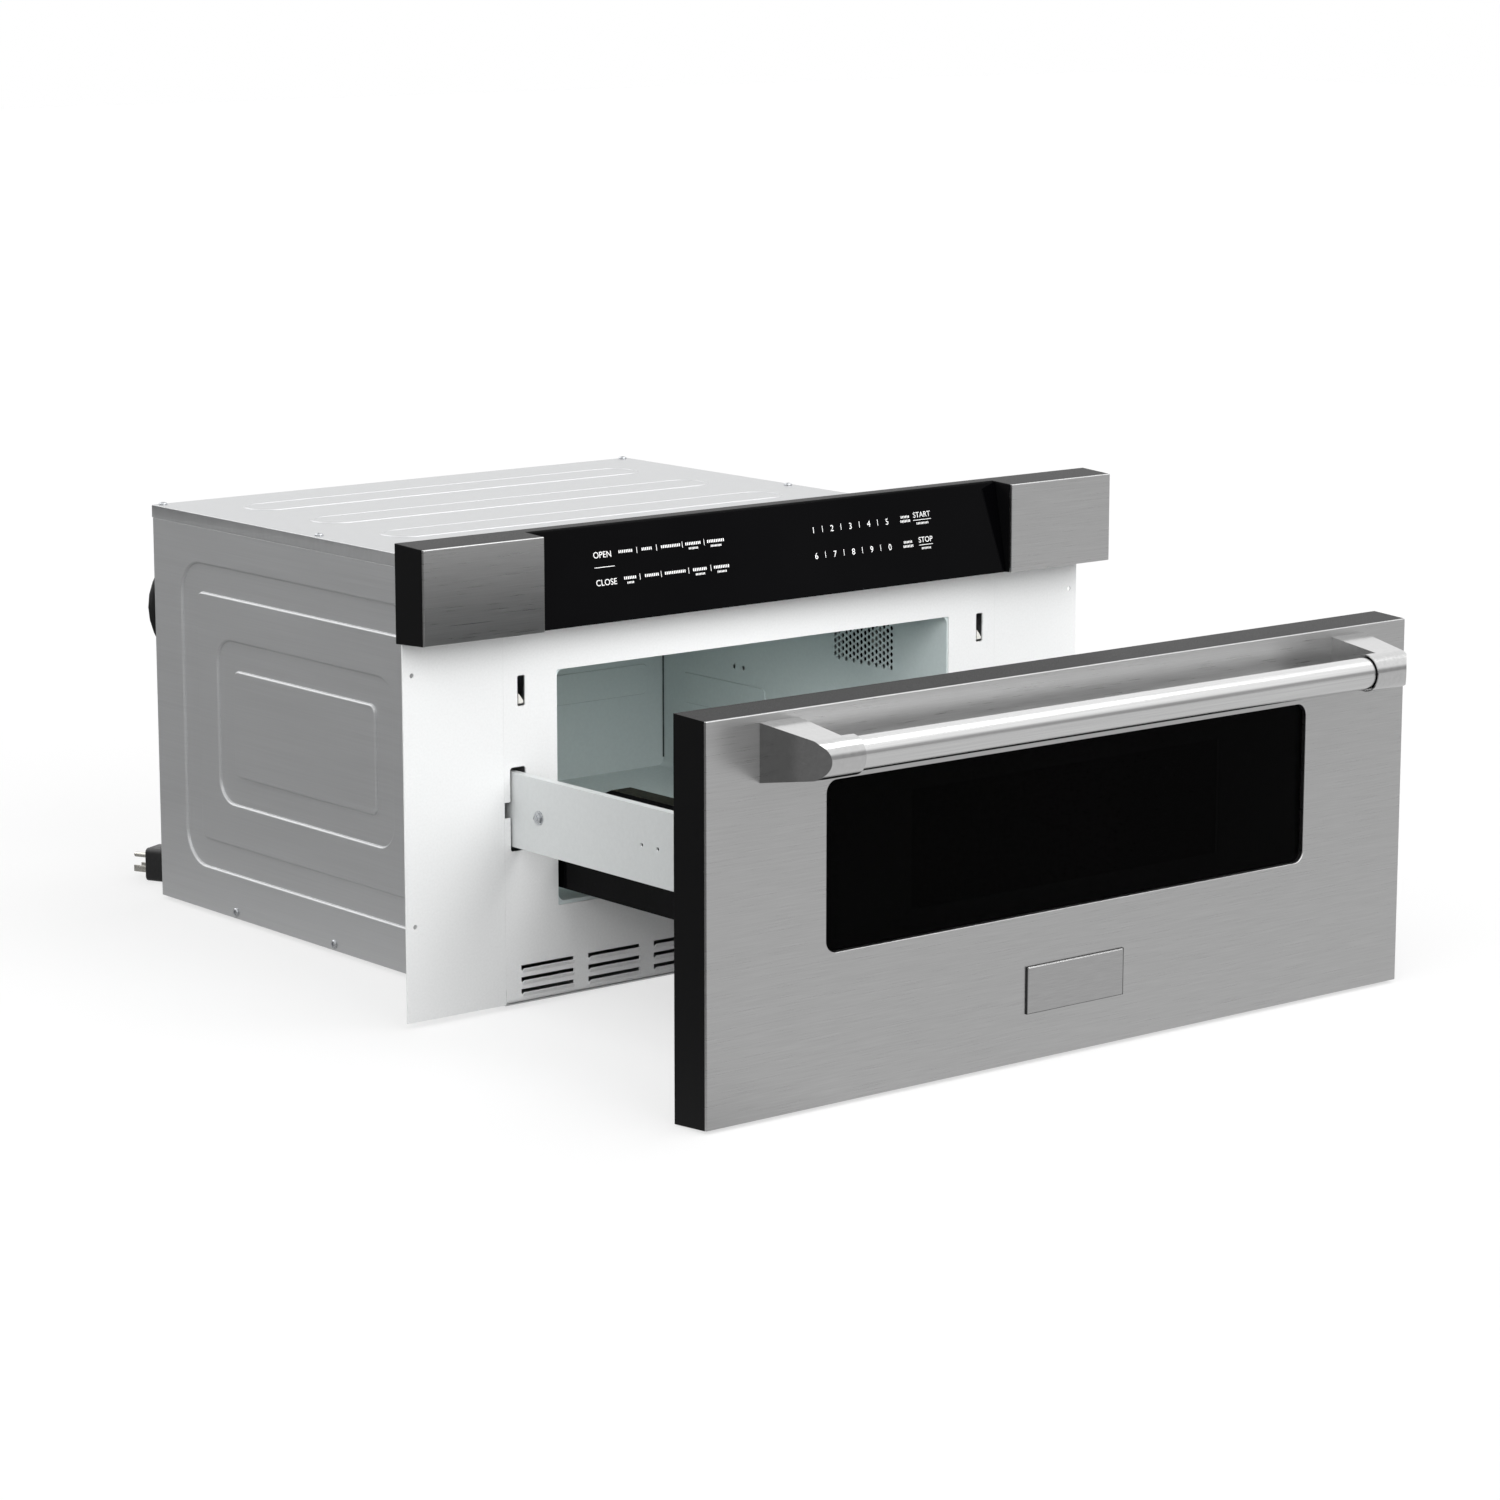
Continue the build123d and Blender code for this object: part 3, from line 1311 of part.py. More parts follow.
# Stainless skin: folded edges all round and a return into the window.
with BuildPart() as drawer_skin:
    with BuildSketch(Plane.XZ.offset(-drawer_face)):
        with Locations((0, drawer_mid)):
            Rectangle(panel_width, drawer_height)
    extrude(amount=-skin_wrap)
    with BuildSketch(Plane.XZ.offset(-drawer_face - skin)):
        with Locations((0, drawer_mid)):
            Rectangle(panel_width - 2 * skin, drawer_height - 2 * skin)
    extrude(amount=-skin_wrap, mode=Mode.SUBTRACT)
    with BuildSketch(Plane.XZ.offset(-drawer_face)):
        with Locations((0, window_mid)):
            RectangleRounded(window_width + 2 * skin, window_height + 2 * skin, window_radius + skin)
    extrude(amount=-glass_recess)
    with BuildSketch(Plane.XZ.offset(-drawer_face)):
        with Locations((0, window_mid)):
            RectangleRounded(window_width, window_height, window_radius)
    extrude(amount=-glass_recess, mode=Mode.SUBTRACT)
drawer_skin.part.label = "drawer_skin"
export_step(drawer_skin.part, "parts/drawer_skin.step")

with BuildPart() as window_glass:
    with BuildSketch(Plane.XZ.offset(-drawer_face - glass_recess)):
        with Locations((0, window_mid)):
            Rectangle(window_width + 2 * window_lap, window_height + 2 * window_lap)
    extrude(amount=-window_glass_thick)
window_glass.part.label = "window_glass"
export_step(window_glass.part, "parts/window_glass.step")

# Inner panel of the drawer front, with the viewing window that the choke frame surrounds.
screen_margin = 9.0
with BuildPart() as drawer_panel:
    with BuildSketch(Plane.XZ.offset(-panel_front)):
        with Locations((0, drawer_mid)):
            panel_cut = 2 * (shell_wall + clear)
            Rectangle(panel_width - panel_cut, drawer_height - panel_cut)
        with Locations((0, window_mid)):
            RectangleRounded(screen_panel_width, screen_panel_height, 6, mode=Mode.SUBTRACT)
    extrude(amount=-panel_sheet)
drawer_panel.part.label = "drawer_panel"
export_step(drawer_panel.part, "parts/drawer_panel.step")

with BuildPart() as window_screen:
    with BuildSketch(Plane.XZ.offset(-panel_front)):
        with Locations((0, window_mid)):
            Rectangle(screen_panel_width + 2 * screen_margin, screen_panel_height + 2 * screen_margin)
    extrude(amount=0.8)
window_screen.part.label = "window_screen"
export_step(window_screen.part, "parts/window_screen.step")

with BuildPart() as window_inner_glass:
    with BuildSketch(Plane.XZ.offset(-panel_back)):
        with Locations((0, window_mid)):
            Rectangle(screen_panel_width + 2 * screen_margin, screen_panel_height + 2 * screen_margin)
    extrude(amount=-3.0)
window_inner_glass.part.label = "window_inner_glass"
export_step(window_inner_glass.part, "parts/window_inner_glass.step")

# Choke: a folded channel round the cavity opening that keeps the microwaves in when the drawer is shut.
choke_width = 488.0
choke_height = 226.0
choke_wall = 1.2
choke_slot = 9.0
opening_mid = (floor_z + roof_z) / 2
with BuildPart() as choke_frame:
    with BuildSketch(Plane.XZ.offset(-panel_back)):
        with Locations((0, opening_mid)):
            Rectangle(choke_width, choke_height)
            Rectangle(cavity_width, cavity_height, mode=Mode.SUBTRACT)
    extrude(amount=-(shell_back - panel_back))
    with BuildSketch(Plane.XZ.offset(-panel_back - choke_wall)):
        with Locations((0, opening_mid)):
            Rectangle(choke_width - 2 * choke_wall, choke_height - 2 * choke_wall)
            Rectangle(cavity_width + 2 * choke_wall, cavity_height + 2 * choke_wall, mode=Mode.SUBTRACT)
    extrude(amount=-(shell_back - panel_back), mode=Mode.SUBTRACT)
    with BuildSketch(Plane.XZ.offset(-shell_back)):
        with Locations((0, opening_mid)):
            Rectangle(choke_width, choke_height)
            slot_out = 2 * choke_wall + 1.0
            Rectangle(choke_width - slot_out, choke_height - slot_out, mode=Mode.SUBTRACT)
            Rectangle(cavity_width + 2 * choke_slot, cavity_height + 2 * choke_slot)
            Rectangle(cavity_width, cavity_height, mode=Mode.SUBTRACT)
    extrude(amount=choke_wall)
choke_frame.part.label = "choke_frame"
export_step(choke_frame.part, "parts/choke_frame.step")

# Latch hooks: two flat steel tongues that enter the latch slots and press the interlock levers.
hook_reach = 22.0
hook_low = lever_z + 18.9
with BuildPart() as latch_hooks:
    for side in (-1, 1):
        with BuildSketch(Plane.YZ.offset(side * latch_x - 1.6)):
            with BuildLine():
                Polyline(
                    (panel_back, hook_low - 6),
                    (panel_back + 6, hook_low - 6),
                    (panel_back + 12, hook_low),
                    (shell_back + hook_reach - 9, hook_low),
                    (shell_back + hook_reach - 9, hook_low - 0.6),
                    (shell_back + hook_reach, hook_low + 4),
                    (shell_back + hook_reach - 3, hook_low + 9.5),
                    (panel_back + 12, hook_low + 9.5),
                    (panel_back + 6, hook_low + 15),
                    (panel_back, hook_low + 15),
                    close=True,
                )
            make_face()
        extrude(amount=3.2)
        with BuildSketch(Plane.XZ.offset(-panel_back)):
            with Locations((side * latch_x, hook_low + 4.5)):
                Rectangle(11, 21)
        extrude(amount=-1.2)
latch_hooks.part.label = "latch_hooks"
export_step(latch_hooks.part, "parts/latch_hooks.step")

# Bare badge plate with bevelled edges.
with BuildPart() as badge_plate:
    with BuildSketch(Plane.XZ.offset(-drawer_face)):
        with Locations((0, drawer_low + badge_z)):
            Rectangle(badge_width, badge_height)
    extrude(amount=badge_thick)
    chamfer(badge_plate.faces().sort_by(Axis.Y)[0].edges(), length=badge_bevel, length2=badge_bevel - 0.6)
badge_plate.part.label = "badge_plate"
export_step(badge_plate.part, "parts/badge_plate.step")


# ================================================================ handle

# Round bar whose ends sit in sleeves of two cast brackets.
bar_y = drawer_face - bar_reach
bar_axis_z = drawer_low + bar_z
bar_seat = sleeve_end + sleeve_recess
with BuildPart() as handle_bar:
    with BuildSketch(Plane.YZ.offset(-bar_seat)):
        with Locations((bar_y, bar_axis_z)):
            Circle(bar_radius)
    extrude(amount=2 * bar_seat)
handle_bar.part.label = "handle_bar"
export_step(handle_bar.part, "parts/handle_bar.step")


def tangent_point(root_height):
    """Point where the bracket's edge from its root meets the round head, from the bar's axis."""
    reach = hypot(bar_reach, root_height)
    angle = atan2(root_height, bar_reach)
    turn = acos(sleeve_radius / reach)
    side = 1 if root_height > 0 else -1
    return (sleeve_radius * cos(angle + side * turn), sleeve_radius * sin(angle + side * turn))


for side, name in ((-1, "handle_bracket_left"), (1, "handle_bracket_right")):
    with BuildPart() as bracket:
        over = tangent_point(bracket_root_top)
        under = tangent_point(-bracket_root_bottom)
        with BuildSketch(Plane.YZ.offset(side * bracket_inner)):
            with BuildLine():
                Line((drawer_face, bar_axis_z + bracket_root_top), (bar_y + over[0], bar_axis_z + over[1]))
                ThreePointArc(
                    (bar_y + over[0], bar_axis_z + over[1]),
                    (bar_y - sleeve_radius, bar_axis_z),
                    (bar_y + under[0], bar_axis_z + under[1]),
                )
                Polyline(
                    (bar_y + under[0], bar_axis_z + under[1]),
                    (drawer_face, bar_axis_z - bracket_root_bottom),
                    (drawer_face, bar_axis_z + bracket_root_top),
                )
            make_face()
        extrude(amount=side * (bracket_root - bracket_inner))
        tip_y = bar_y - sleeve_radius
        with BuildSketch(Plane.XY.offset(bar_axis_z - bracket_root_bottom - 5)):
            with BuildLine():
                Polyline(
                    (side * (bracket_root + 5), drawer_face),
                    (side * bracket_root, drawer_face),
                    (side * bracket_tip, tip_y + bracket_bevel),
                    (side * (bracket_tip - bracket_bevel), tip_y),
                    (side * (bracket_tip - bracket_bevel), tip_y - 5),
                    (side * (bracket_root + 5), tip_y - 5),
                    close=True,
                )
            make_face()
        extrude(amount=60, mode=Mode.SUBTRACT)
        with BuildSketch(Plane.YZ.offset(side * sleeve_end)):
            with Locations((bar_y, bar_axis_z)):
                Circle(sleeve_radius)
        extrude(amount=side * (bracket_inner - sleeve_end))
        with BuildSketch(Plane.YZ.offset(side * sleeve_end)):
            with Locations((bar_y, bar_axis_z)):
                Circle(sleeve_hole)
        extrude(amount=side * sleeve_recess, mode=Mode.SUBTRACT)
    bracket.part.label = name
    export_step(bracket.part, f"parts/{name}.step")


# ================================================================ drawer basket

# Tub of the drawer with a tall hollow cheek on each side, fastened behind the inner panel.
with BuildPart() as basket:
    basket_back = shell_back + basket_length
    basket_span = basket_back - panel_back
    basket_mid = (basket_back + panel_back) / 2
    with BuildSketch(Plane.XY.offset(basket_z)):
        with Locations((0, basket_mid)):
            RectangleRounded(2 * basket_half, basket_span, 8)
    extrude(amount=tub_height)
    with BuildSketch(Plane.XY.offset(basket_z + basket_wall)):
        with Locations((0, basket_mid)):
            RectangleRounded(2 * (basket_half - basket_wall), basket_span - 2 * basket_wall, 6)
    extrude(amount=tub_height, mode=Mode.SUBTRACT)
    cheek_end = shell_back + cheek_back
    cheek_top = basket_z + cheek_height
    for side in (-1, 1):
        with BuildSketch(Plane.YZ.offset(side * basket_half)):
            with BuildLine():
                Polyline(
                    (panel_back, basket_z + basket_wall),
                    (panel_back, cheek_top),
                    (cheek_end - cheek_round, cheek_top),
                    (cheek_end - cheek_round * 0.3, cheek_top - cheek_round * 0.3),
                    (cheek_end, cheek_top - cheek_round),
                    (cheek_end, basket_z + basket_wall),
                    close=True,
                )
            make_face()
        extrude(amount=-side * cheek_width)
        with BuildSketch(Plane.YZ.offset(side * (basket_half - 2))):
            with BuildLine():
                Polyline(
                    (panel_back + 3, basket_z + basket_wall),
                    (panel_back + 3, cheek_top - 2),
                    (cheek_end - 2 - cheek_round, cheek_top - 2),
                    (cheek_end - 2, cheek_top - cheek_round - 2),
                    (cheek_end - 2, basket_z + basket_wall),
                    close=True,
                )
            make_face()
        extrude(amount=-side * (cheek_width - 4), mode=Mode.SUBTRACT)
basket.part.label = "basket"
export_step(basket.part, "parts/basket.step")

# Glass tray on the basket's floor.
tray_length = 350.0
with BuildPart() as glass_tray:
    tray_width = 2 * (basket_half - cheek_width) - 8
    tray_y = basket_back - basket_wall - 6 - tray_length / 2
    with BuildSketch(Plane.XY.offset(basket_z + basket_wall)):
        with Locations((0, tray_y)):
            RectangleRounded(tray_width, tray_length, 14)
    extrude(amount=tray_thick)
    with BuildSketch(Plane.XY.offset(basket_z + basket_wall + 2.5)):
        with Locations((0, tray_y)):
            RectangleRounded(tray_width - 12, tray_length - 12, 9)
    extrude(amount=tray_thick, mode=Mode.SUBTRACT)
glass_tray.part.label = "glass_tray"
export_step(glass_tray.part, "parts/glass_tray.step")


# ================================================================ power cord

# Rubber gland in the back panel.
gland_nose = 8.0
gland_end = case_back + gland_nose
with BuildPart() as cord_gland:
    with BuildSketch(Plane.XZ.offset(-case_back)):
        with Locations((cord_gland_x, cord_gland_z)):
            Circle(13)
    extrude(amount=-2.5)
    with BuildSketch(Plane.XZ.offset(-(rear_face - 6))):
        with Locations((cord_gland_x, cord_gland_z)):
            Circle(gland_hole - 0.05)
    extrude(amount=-(case_back - rear_face + 6))
    with BuildSketch(Plane.XZ.offset(-case_back)):
        with Locations((cord_gland_x, cord_gland_z)):
            Circle(7)
    extrude(amount=-gland_nose)
cord_gland.part.label = "cord_gland"
export_step(cord_gland.part, "parts/cord_gland.step")


def corner_radii(points, name):
    """Largest sensible bend at every inner point of a route, printed for the report."""
    radii = []
    for before, here, after in zip(points, points[1:], points[2:]):
        run_in = Vector(*here) - Vector(*before)
        run_out = Vector(*after) - Vector(*here)
        turn = radians(run_in.get_angle(run_out))
        radii.append(0.45 * min(run_in.length, run_out.length) / tan(turn / 2))
    print(name, "radii", [round(radius, 1) for radius in radii])
    return radii


def cord_tube(points, name):
    """Tube of the cord along straight runs joined by tangent arcs."""
    with BuildPart() as tube:
        with BuildLine() as route:
            FilletPolyline(*points, radius=corner_radii(points, name))
        along = Vector(*points[1]) - Vector(*points[0])
        with BuildSketch(Plane(origin=points[0], z_dir=along)):
            Circle(cord_radius)
        sweep(path=route.wires()[0])
    ratio = tube.part.volume / (pi * cord_radius**2 * route.wires()[0].length)
    print(name, "length", round(route.wires()[0].length, 1), "volume ratio", round(ratio, 4))
    return tube


# Coil: clockwise from above, spiralling in on the floor, up one layer where it turns, and out again.
layer_turns = 1.0
coil_out = coil_radius + coil_pitch * layer_turns / 2
coil_turns = 2 * layer_turns + 0.5
coil_steps = int(coil_turns * 4)


def coil_point(turn):
    """Point of the coil's centre line after a number of turns."""
    if turn <= layer_turns:
        reach = coil_out - coil_pitch * turn
        rise = 0.0
    elif turn >= layer_turns + 0.5:
        reach = coil_out - coil_pitch * (coil_turns - turn)
        rise = 1.0
    else:
        part_way = (turn - layer_turns) / 0.5
        reach = coil_out - coil_pitch * (layer_turns + 0.125 * (1 - (2 * part_way - 1) ** 2))
        rise = (1 - cos(pi * part_way)) / 2
    angle = pi / 2 - 2 * pi * turn
    return Vector(
        coil_x + reach * cos(angle), coil_y + reach * sin(angle), cord_radius + coil_rise * rise
    )


def coil_tangent(turn):
    """Direction of the coil's centre line after a number of turns."""
    if turn in (0, coil_turns):
        return Vector(1 if turn == 0 else -1, 0, 0)
    step = 0.002
    return (coil_point(turn + step) - coil_point(turn - step)).normalized()


def biarc(start, start_dir, end, end_dir):
    """Middle point and direction of two arcs that join start and end smoothly."""
    chord = end - start
    total = start_dir + end_dir
    square = 2 * (1 - start_dir.dot(end_dir))
    along = chord.dot(total)
    reach = (-along + sqrt(along**2 + square * chord.dot(chord))) / square
    middle = (start + end) * 0.5 + (start_dir - end_dir) * (reach / 2)
    middle_dir = (end - end_dir * reach) - (start + start_dir * reach)
    return middle, middle_dir.normalized()


with BuildPart() as cord_coil:
    end_run = 2 * cord_radius
    with BuildLine() as coil_path:
        first = coil_point(0)
        Line(first - Vector(end_run, 0, 0), first)
        for step in range(coil_steps):
            here = coil_point(step / 4)
            here_dir = coil_tangent(step / 4)
            there = coil_point((step + 1) / 4)
            middle, middle_dir = biarc(here, here_dir, there, coil_tangent((step + 1) / 4))
            TangentArc(here, middle, tangent=here_dir)
            TangentArc(middle, there, tangent=middle_dir)
        last = coil_point(coil_turns)
        Line(last, last - Vector(end_run, 0, 0))
    with BuildSketch(Plane(origin=first - Vector(end_run, 0, 0), z_dir=(1, 0, 0))):
        Circle(cord_radius)
    sweep(path=coil_path.wires()[0])
cord_coil.part.label = "cord_coil"
export_step(cord_coil.part, "parts/cord_coil.step")
samples = [coil_point(coil_turns * index / 300) for index in range(301)]
least = min(
    (samples[i] - samples[j]).length for i in range(301) for j in range(i + 60, 301)
)
coil_length = coil_path.wires()[0].length
print("cord_coil length", round(coil_length, 1), "least self gap", round(least - 2 * cord_radius, 2))
print("cord_coil volume ratio", round(cord_coil.part.volume / (pi * cord_radius**2 * coil_length), 4))

# Run from the gland, out past the case's left edge, down to the floor and into the coil.
bulge_y = case_back + 62.0
run_points = [
    (cord_gland_x, gland_end, cord_gland_z),
    (cord_gland_x, bulge_y, cord_gland_z),
    (cord_gland_x - 46.0, bulge_y, cord_gland_z - 65.5),
    (cord_gland_x + 4.0, bulge_y, cord_gland_z - 139.0),
    (cord_gland_x + 9.0, bulge_y + 12.0, cord_gland_z - 212.0),
    (cord_gland_x + 20.0, bulge_y + 31.0, cord_gland_z - 275.0),
    (coil_x - 50.0, coil_y + coil_out, cord_radius),
    (coil_x - end_run, coil_y + coil_out, cord_radius),
]
cord_run = cord_tube(run_points, "cord_run")
cord_run.part.label = "cord_run"
export_step(cord_run.part, "parts/cord_run.step")

# Moulded plug with three prongs, lying on the floor just past the case's edge.
plug_x = -236.0
plug_y = 352.0
plug_z = 16.2
plug_dir = Vector(-0.433, 0.903, 0).normalized()
plug_body = 24.0
plug_tail = 22.0
plug_face = Vector(plug_x, plug_y, plug_z)
plug_end = plug_face - plug_dir * (plug_body + plug_tail)
plug_right = Vector(plug_dir.Y, -plug_dir.X, 0)
with BuildPart() as plug:
    face_plane = Plane(origin=plug_face, x_dir=plug_right, z_dir=plug_dir * -1)
    with BuildSketch(face_plane) as body_section:
        Rectangle(28, 32)
        chamfer(body_section.vertices(), length=4)
    extrude(amount=plug_body)
    with BuildSketch(face_plane.offset(plug_body)) as tail_root:
        Rectangle(22, 26)
        chamfer(tail_root.vertices(), length=4)
    with BuildSketch(face_plane.offset(plug_body + plug_tail)) as tail_end:
        Rectangle(11, 11)
        chamfer(tail_end.vertices(), length=2.5)
    loft()
    prong_plane = Plane(origin=plug_face, x_dir=plug_right, z_dir=plug_dir)
    with BuildSketch(prong_plane):
        with Locations((-6.35, -6.0), (6.35, -6.0)):
            Rectangle(1.5, 6.35)
    extrude(amount=17)
    with BuildSketch(prong_plane):
        with Locations((0, 6.0)):
            Circle(2.4)
    extrude(amount=21)
plug.part.label = "plug"
export_step(plug.part, "parts/plug.step")

# Lead from the coil's upper layer to the plug.
tail_run = 16.0
turn_point = plug_end - plug_dir * tail_run
lead_points = [
    (coil_x - end_run, coil_y - coil_out, cord_radius + coil_rise),
    (coil_x - 38.0, coil_y - coil_out, cord_radius + coil_rise),
    (turn_point.X + 30.0, turn_point.Y - 11.0, cord_radius + 2.0),
    (turn_point.X + 13.0, turn_point.Y - 10.0, cord_radius + 8.0),
    (turn_point.X, turn_point.Y, turn_point.Z),
    (plug_end.X, plug_end.Y, plug_end.Z),
]
cord_lead = cord_tube(lead_points, "cord_lead")
cord_lead.part.label = "cord_lead"
export_step(cord_lead.part, "parts/cord_lead.step")
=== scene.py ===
from math import atan2, cos, pi, radians, sin

import bmesh
import bpy
from mathutils import Matrix, Vector


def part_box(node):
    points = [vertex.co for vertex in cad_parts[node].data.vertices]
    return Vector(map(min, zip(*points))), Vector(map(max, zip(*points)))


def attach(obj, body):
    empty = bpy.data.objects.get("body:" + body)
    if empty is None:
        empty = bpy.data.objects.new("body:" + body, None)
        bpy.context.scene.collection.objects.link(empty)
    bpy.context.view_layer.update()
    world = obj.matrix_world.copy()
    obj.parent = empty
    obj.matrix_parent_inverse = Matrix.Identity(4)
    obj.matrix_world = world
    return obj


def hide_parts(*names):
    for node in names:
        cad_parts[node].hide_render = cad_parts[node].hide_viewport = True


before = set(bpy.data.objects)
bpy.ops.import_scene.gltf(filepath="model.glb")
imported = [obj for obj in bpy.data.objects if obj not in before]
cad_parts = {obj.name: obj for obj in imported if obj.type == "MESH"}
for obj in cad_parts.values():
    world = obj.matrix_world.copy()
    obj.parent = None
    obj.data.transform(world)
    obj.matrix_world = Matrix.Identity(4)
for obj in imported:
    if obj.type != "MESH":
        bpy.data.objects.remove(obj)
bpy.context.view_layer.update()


# ================================================================ camera and studio
# A pale sweep under the oven, soft lamps in front, on the left and above, and white surroundings
# with a grey band low down in front, a dark wall behind and a bright panel high up on the left.

camera_data = bpy.data.cameras.new("camera")
camera_data.sensor_width = 36
camera_data.lens = 105.889
camera_data.clip_end = 60
camera = bpy.data.objects.new("camera", camera_data)
camera.location = (-2.3846, -3.1980, 0.9219)
camera.rotation_euler = (radians(90 - 10.973), 0, -radians(39.07))
bpy.context.collection.objects.link(camera)
bpy.context.scene.camera = camera
bpy.context.scene.view_settings.view_transform = "Standard"


def colour(code):
    """Linear colour, with its alpha, of an sRGB hex code."""
    parts = [int(code[start:start + 2], 16) / 255 for start in (1, 3, 5)]
    linear = [
        part / 12.92 if part <= 0.04045 else ((part + 0.055) / 1.055) ** 2.4 for part in parts]
    return linear + [1.0]


def add_node(owner, kind, sockets, **settings):
    """Node in a material or world, with its settings and with its inputs set or linked."""
    node = owner.node_tree.nodes.new("ShaderNode" + kind)
    for setting, value in settings.items():
        setattr(node, setting, value)
    for socket, value in sockets.items():
        if isinstance(value, bpy.types.NodeSocket):
            owner.node_tree.links.new(value, node.inputs[socket])
        else:
            node.inputs[socket].default_value = value
    return node


studio = bpy.data.worlds.new("studio")
bpy.context.scene.world = studio
studio.use_nodes = True
studio.node_tree.nodes.clear()
ray = add_node(studio, "LightPath", {})
heading = add_node(studio, "TexCoord", {}).outputs["Generated"]
# How high a direction climbs, counted from lower down behind the oven than in front of it.
climb = add_node(studio, "VectorMath", {0: heading, 1: (0.0, 0.45, 1.0)}, operation="DOT_PRODUCT")
band = add_node(studio, "MapRange", {
    "Value": climb.outputs["Value"], "From Min": -0.1, "From Max": 0.1, "To Min": 0.38,
    "To Max": 1.05})
to_front = add_node(studio, "VectorMath", {0: heading, 1: (0.6, -0.8, 0.8)},
                    operation="DOT_PRODUCT")
flag = add_node(studio, "MapRange", {
    "Value": to_front.outputs["Value"], "From Min": -0.9, "From Max": -0.4, "To Min": 0.25,
    "To Max": 1.0})
walls = add_node(studio, "Math", {0: band.outputs[0], 1: flag.outputs[0]}, operation="MULTIPLY")
# Bright panel high up behind the oven on the left, which the upward folds of the case mirror.
to_panel = add_node(studio, "VectorMath", {0: heading, 1: (-0.30, 0.77, 0.56)},
                    operation="DOT_PRODUCT")
panel = add_node(studio, "MapRange", {
    "Value": to_panel.outputs["Value"], "From Min": 0.85, "From Max": 0.97, "To Min": 0.0,
    "To Max": 1.6})
mirrored = add_node(studio, "Math", {0: walls.outputs[0], 1: panel.outputs[0]}, operation="ADD")
softbox = add_node(studio, "VectorMath", {0: heading, 1: (-0.3, -0.95, 0.0)},
                   operation="DOT_PRODUCT")
thrown = add_node(studio, "MapRange", {
    "Value": softbox.outputs["Value"], "From Min": -0.3, "From Max": 0.5, "To Min": 0.3,
    "To Max": 1.0})
diffuse_or_gloss = add_node(studio, "Mix", {
    0: ray.outputs["Is Glossy Ray"], 2: thrown.outputs[0], 3: mirrored.outputs[0]})
seen = add_node(studio, "Math", {
    0: ray.outputs["Is Camera Ray"], 1: ray.outputs["Is Transmission Ray"]}, operation="MAXIMUM")
level = add_node(studio, "Mix", {0: seen.outputs[0], 2: diffuse_or_gloss.outputs[0], 3: 1.0})
sky = add_node(studio, "Background", {"Color": colour("#FFFFFF"), "Strength": level.outputs[0]})
add_node(studio, "OutputWorld", {"Surface": sky.outputs[0]})

# Broad lamps: name, strength, width in degrees, and the direction that each stands in. The left one
# is kept out of mirrors, where it would draw lines down the upright folds.
for lamp_name, strength, spread, towards in (
    ("front_lamp", 1.0, 45, (0.05, -0.90, 0.42)),
    ("left_lamp", 1.1, 50, (-0.74, -0.42, 0.52)),
    ("top_lamp", 0.85, 40, (0.40, -0.15, 0.90)),
):
    lamp_data = bpy.data.lights.new(lamp_name, "SUN")
    lamp_data.energy = strength
    lamp_data.angle = radians(spread)
    lamp = bpy.data.objects.new(lamp_name, lamp_data)
    lamp.rotation_euler = Vector(towards).to_track_quat("Z", "Y").to_euler()
    lamp.visible_glossy = lamp_name != "left_lamp"
    bpy.context.collection.objects.link(lamp)

# Two small lamps that only matt surfaces show: one just inside the cavity's mouth, under its roof,
# and one over the gap that the open drawer leaves, turned to the white front. Each has its power,
# size and spread, the place it hangs at and the point it lights.
for lamp_name, strength, size, spread, stand, aim in (
    ("inside_lamp", 0.08, 0.05, 80, (-0.05, -0.262, 0.262), (0.13, -0.06, 0.03)),
    ("gap_lamp", 0.5, 0.3, 160, (-0.04, -0.56, 0.44), (-0.02, -0.30, 0.26)),
):
    lamp_data = bpy.data.lights.new(lamp_name, "AREA")
    lamp_data.energy = strength
    lamp_data.size = size
    lamp_data.spread = radians(spread)
    lamp = bpy.data.objects.new(lamp_name, lamp_data)
    lamp.location = stand
    lamp.rotation_euler = (Vector(stand) - Vector(aim)).to_track_quat("Z", "Y").to_euler()
    lamp.visible_camera = False
    lamp.visible_glossy = False
    bpy.context.collection.objects.link(lamp)

# The sweep is white to the eye and pale grey to the light that it throws back under the oven.
sweep = bpy.data.materials.new("studio_sweep_paper")
sweep.use_nodes = True
sweep.node_tree.nodes.clear()
ray = add_node(sweep, "LightPath", {})
paper = add_node(sweep, "Mix", {
    0: ray.outputs["Is Camera Ray"], 6: colour("#B6B6B6"), 7: colour("#F4F4F4")}, data_type="RGBA")
matt = add_node(sweep, "BsdfDiffuse", {"Color": paper.outputs[2]})
# In mirrors the paper is pale on the right of the oven and in front, and dark on the left.
to_right = add_node(sweep, "VectorMath", {
    0: add_node(sweep, "TexCoord", {}).outputs["Object"], 1: (1.0, -0.25, 0.0)},
    operation="DOT_PRODUCT")
field = add_node(sweep, "MapRange", {
    "Value": to_right.outputs["Value"], "From Min": -0.6, "From Max": -0.05, "To Min": 0.16,
    "To Max": 0.66})
glow = add_node(sweep, "Mix", {0: ray.outputs["Is Glossy Ray"], 2: 1.0, 3: field.outputs[0]})
lit = add_node(sweep, "Emission", {"Color": colour("#FFFFFF"), "Strength": glow.outputs[0]})
eye = add_node(sweep, "Math", {
    0: ray.outputs["Is Camera Ray"], 1: ray.outputs["Is Transmission Ray"]}, operation="MAXIMUM")
to_eye = add_node(sweep, "Math", {0: eye.outputs[0], 1: 0.65}, operation="MULTIPLY")
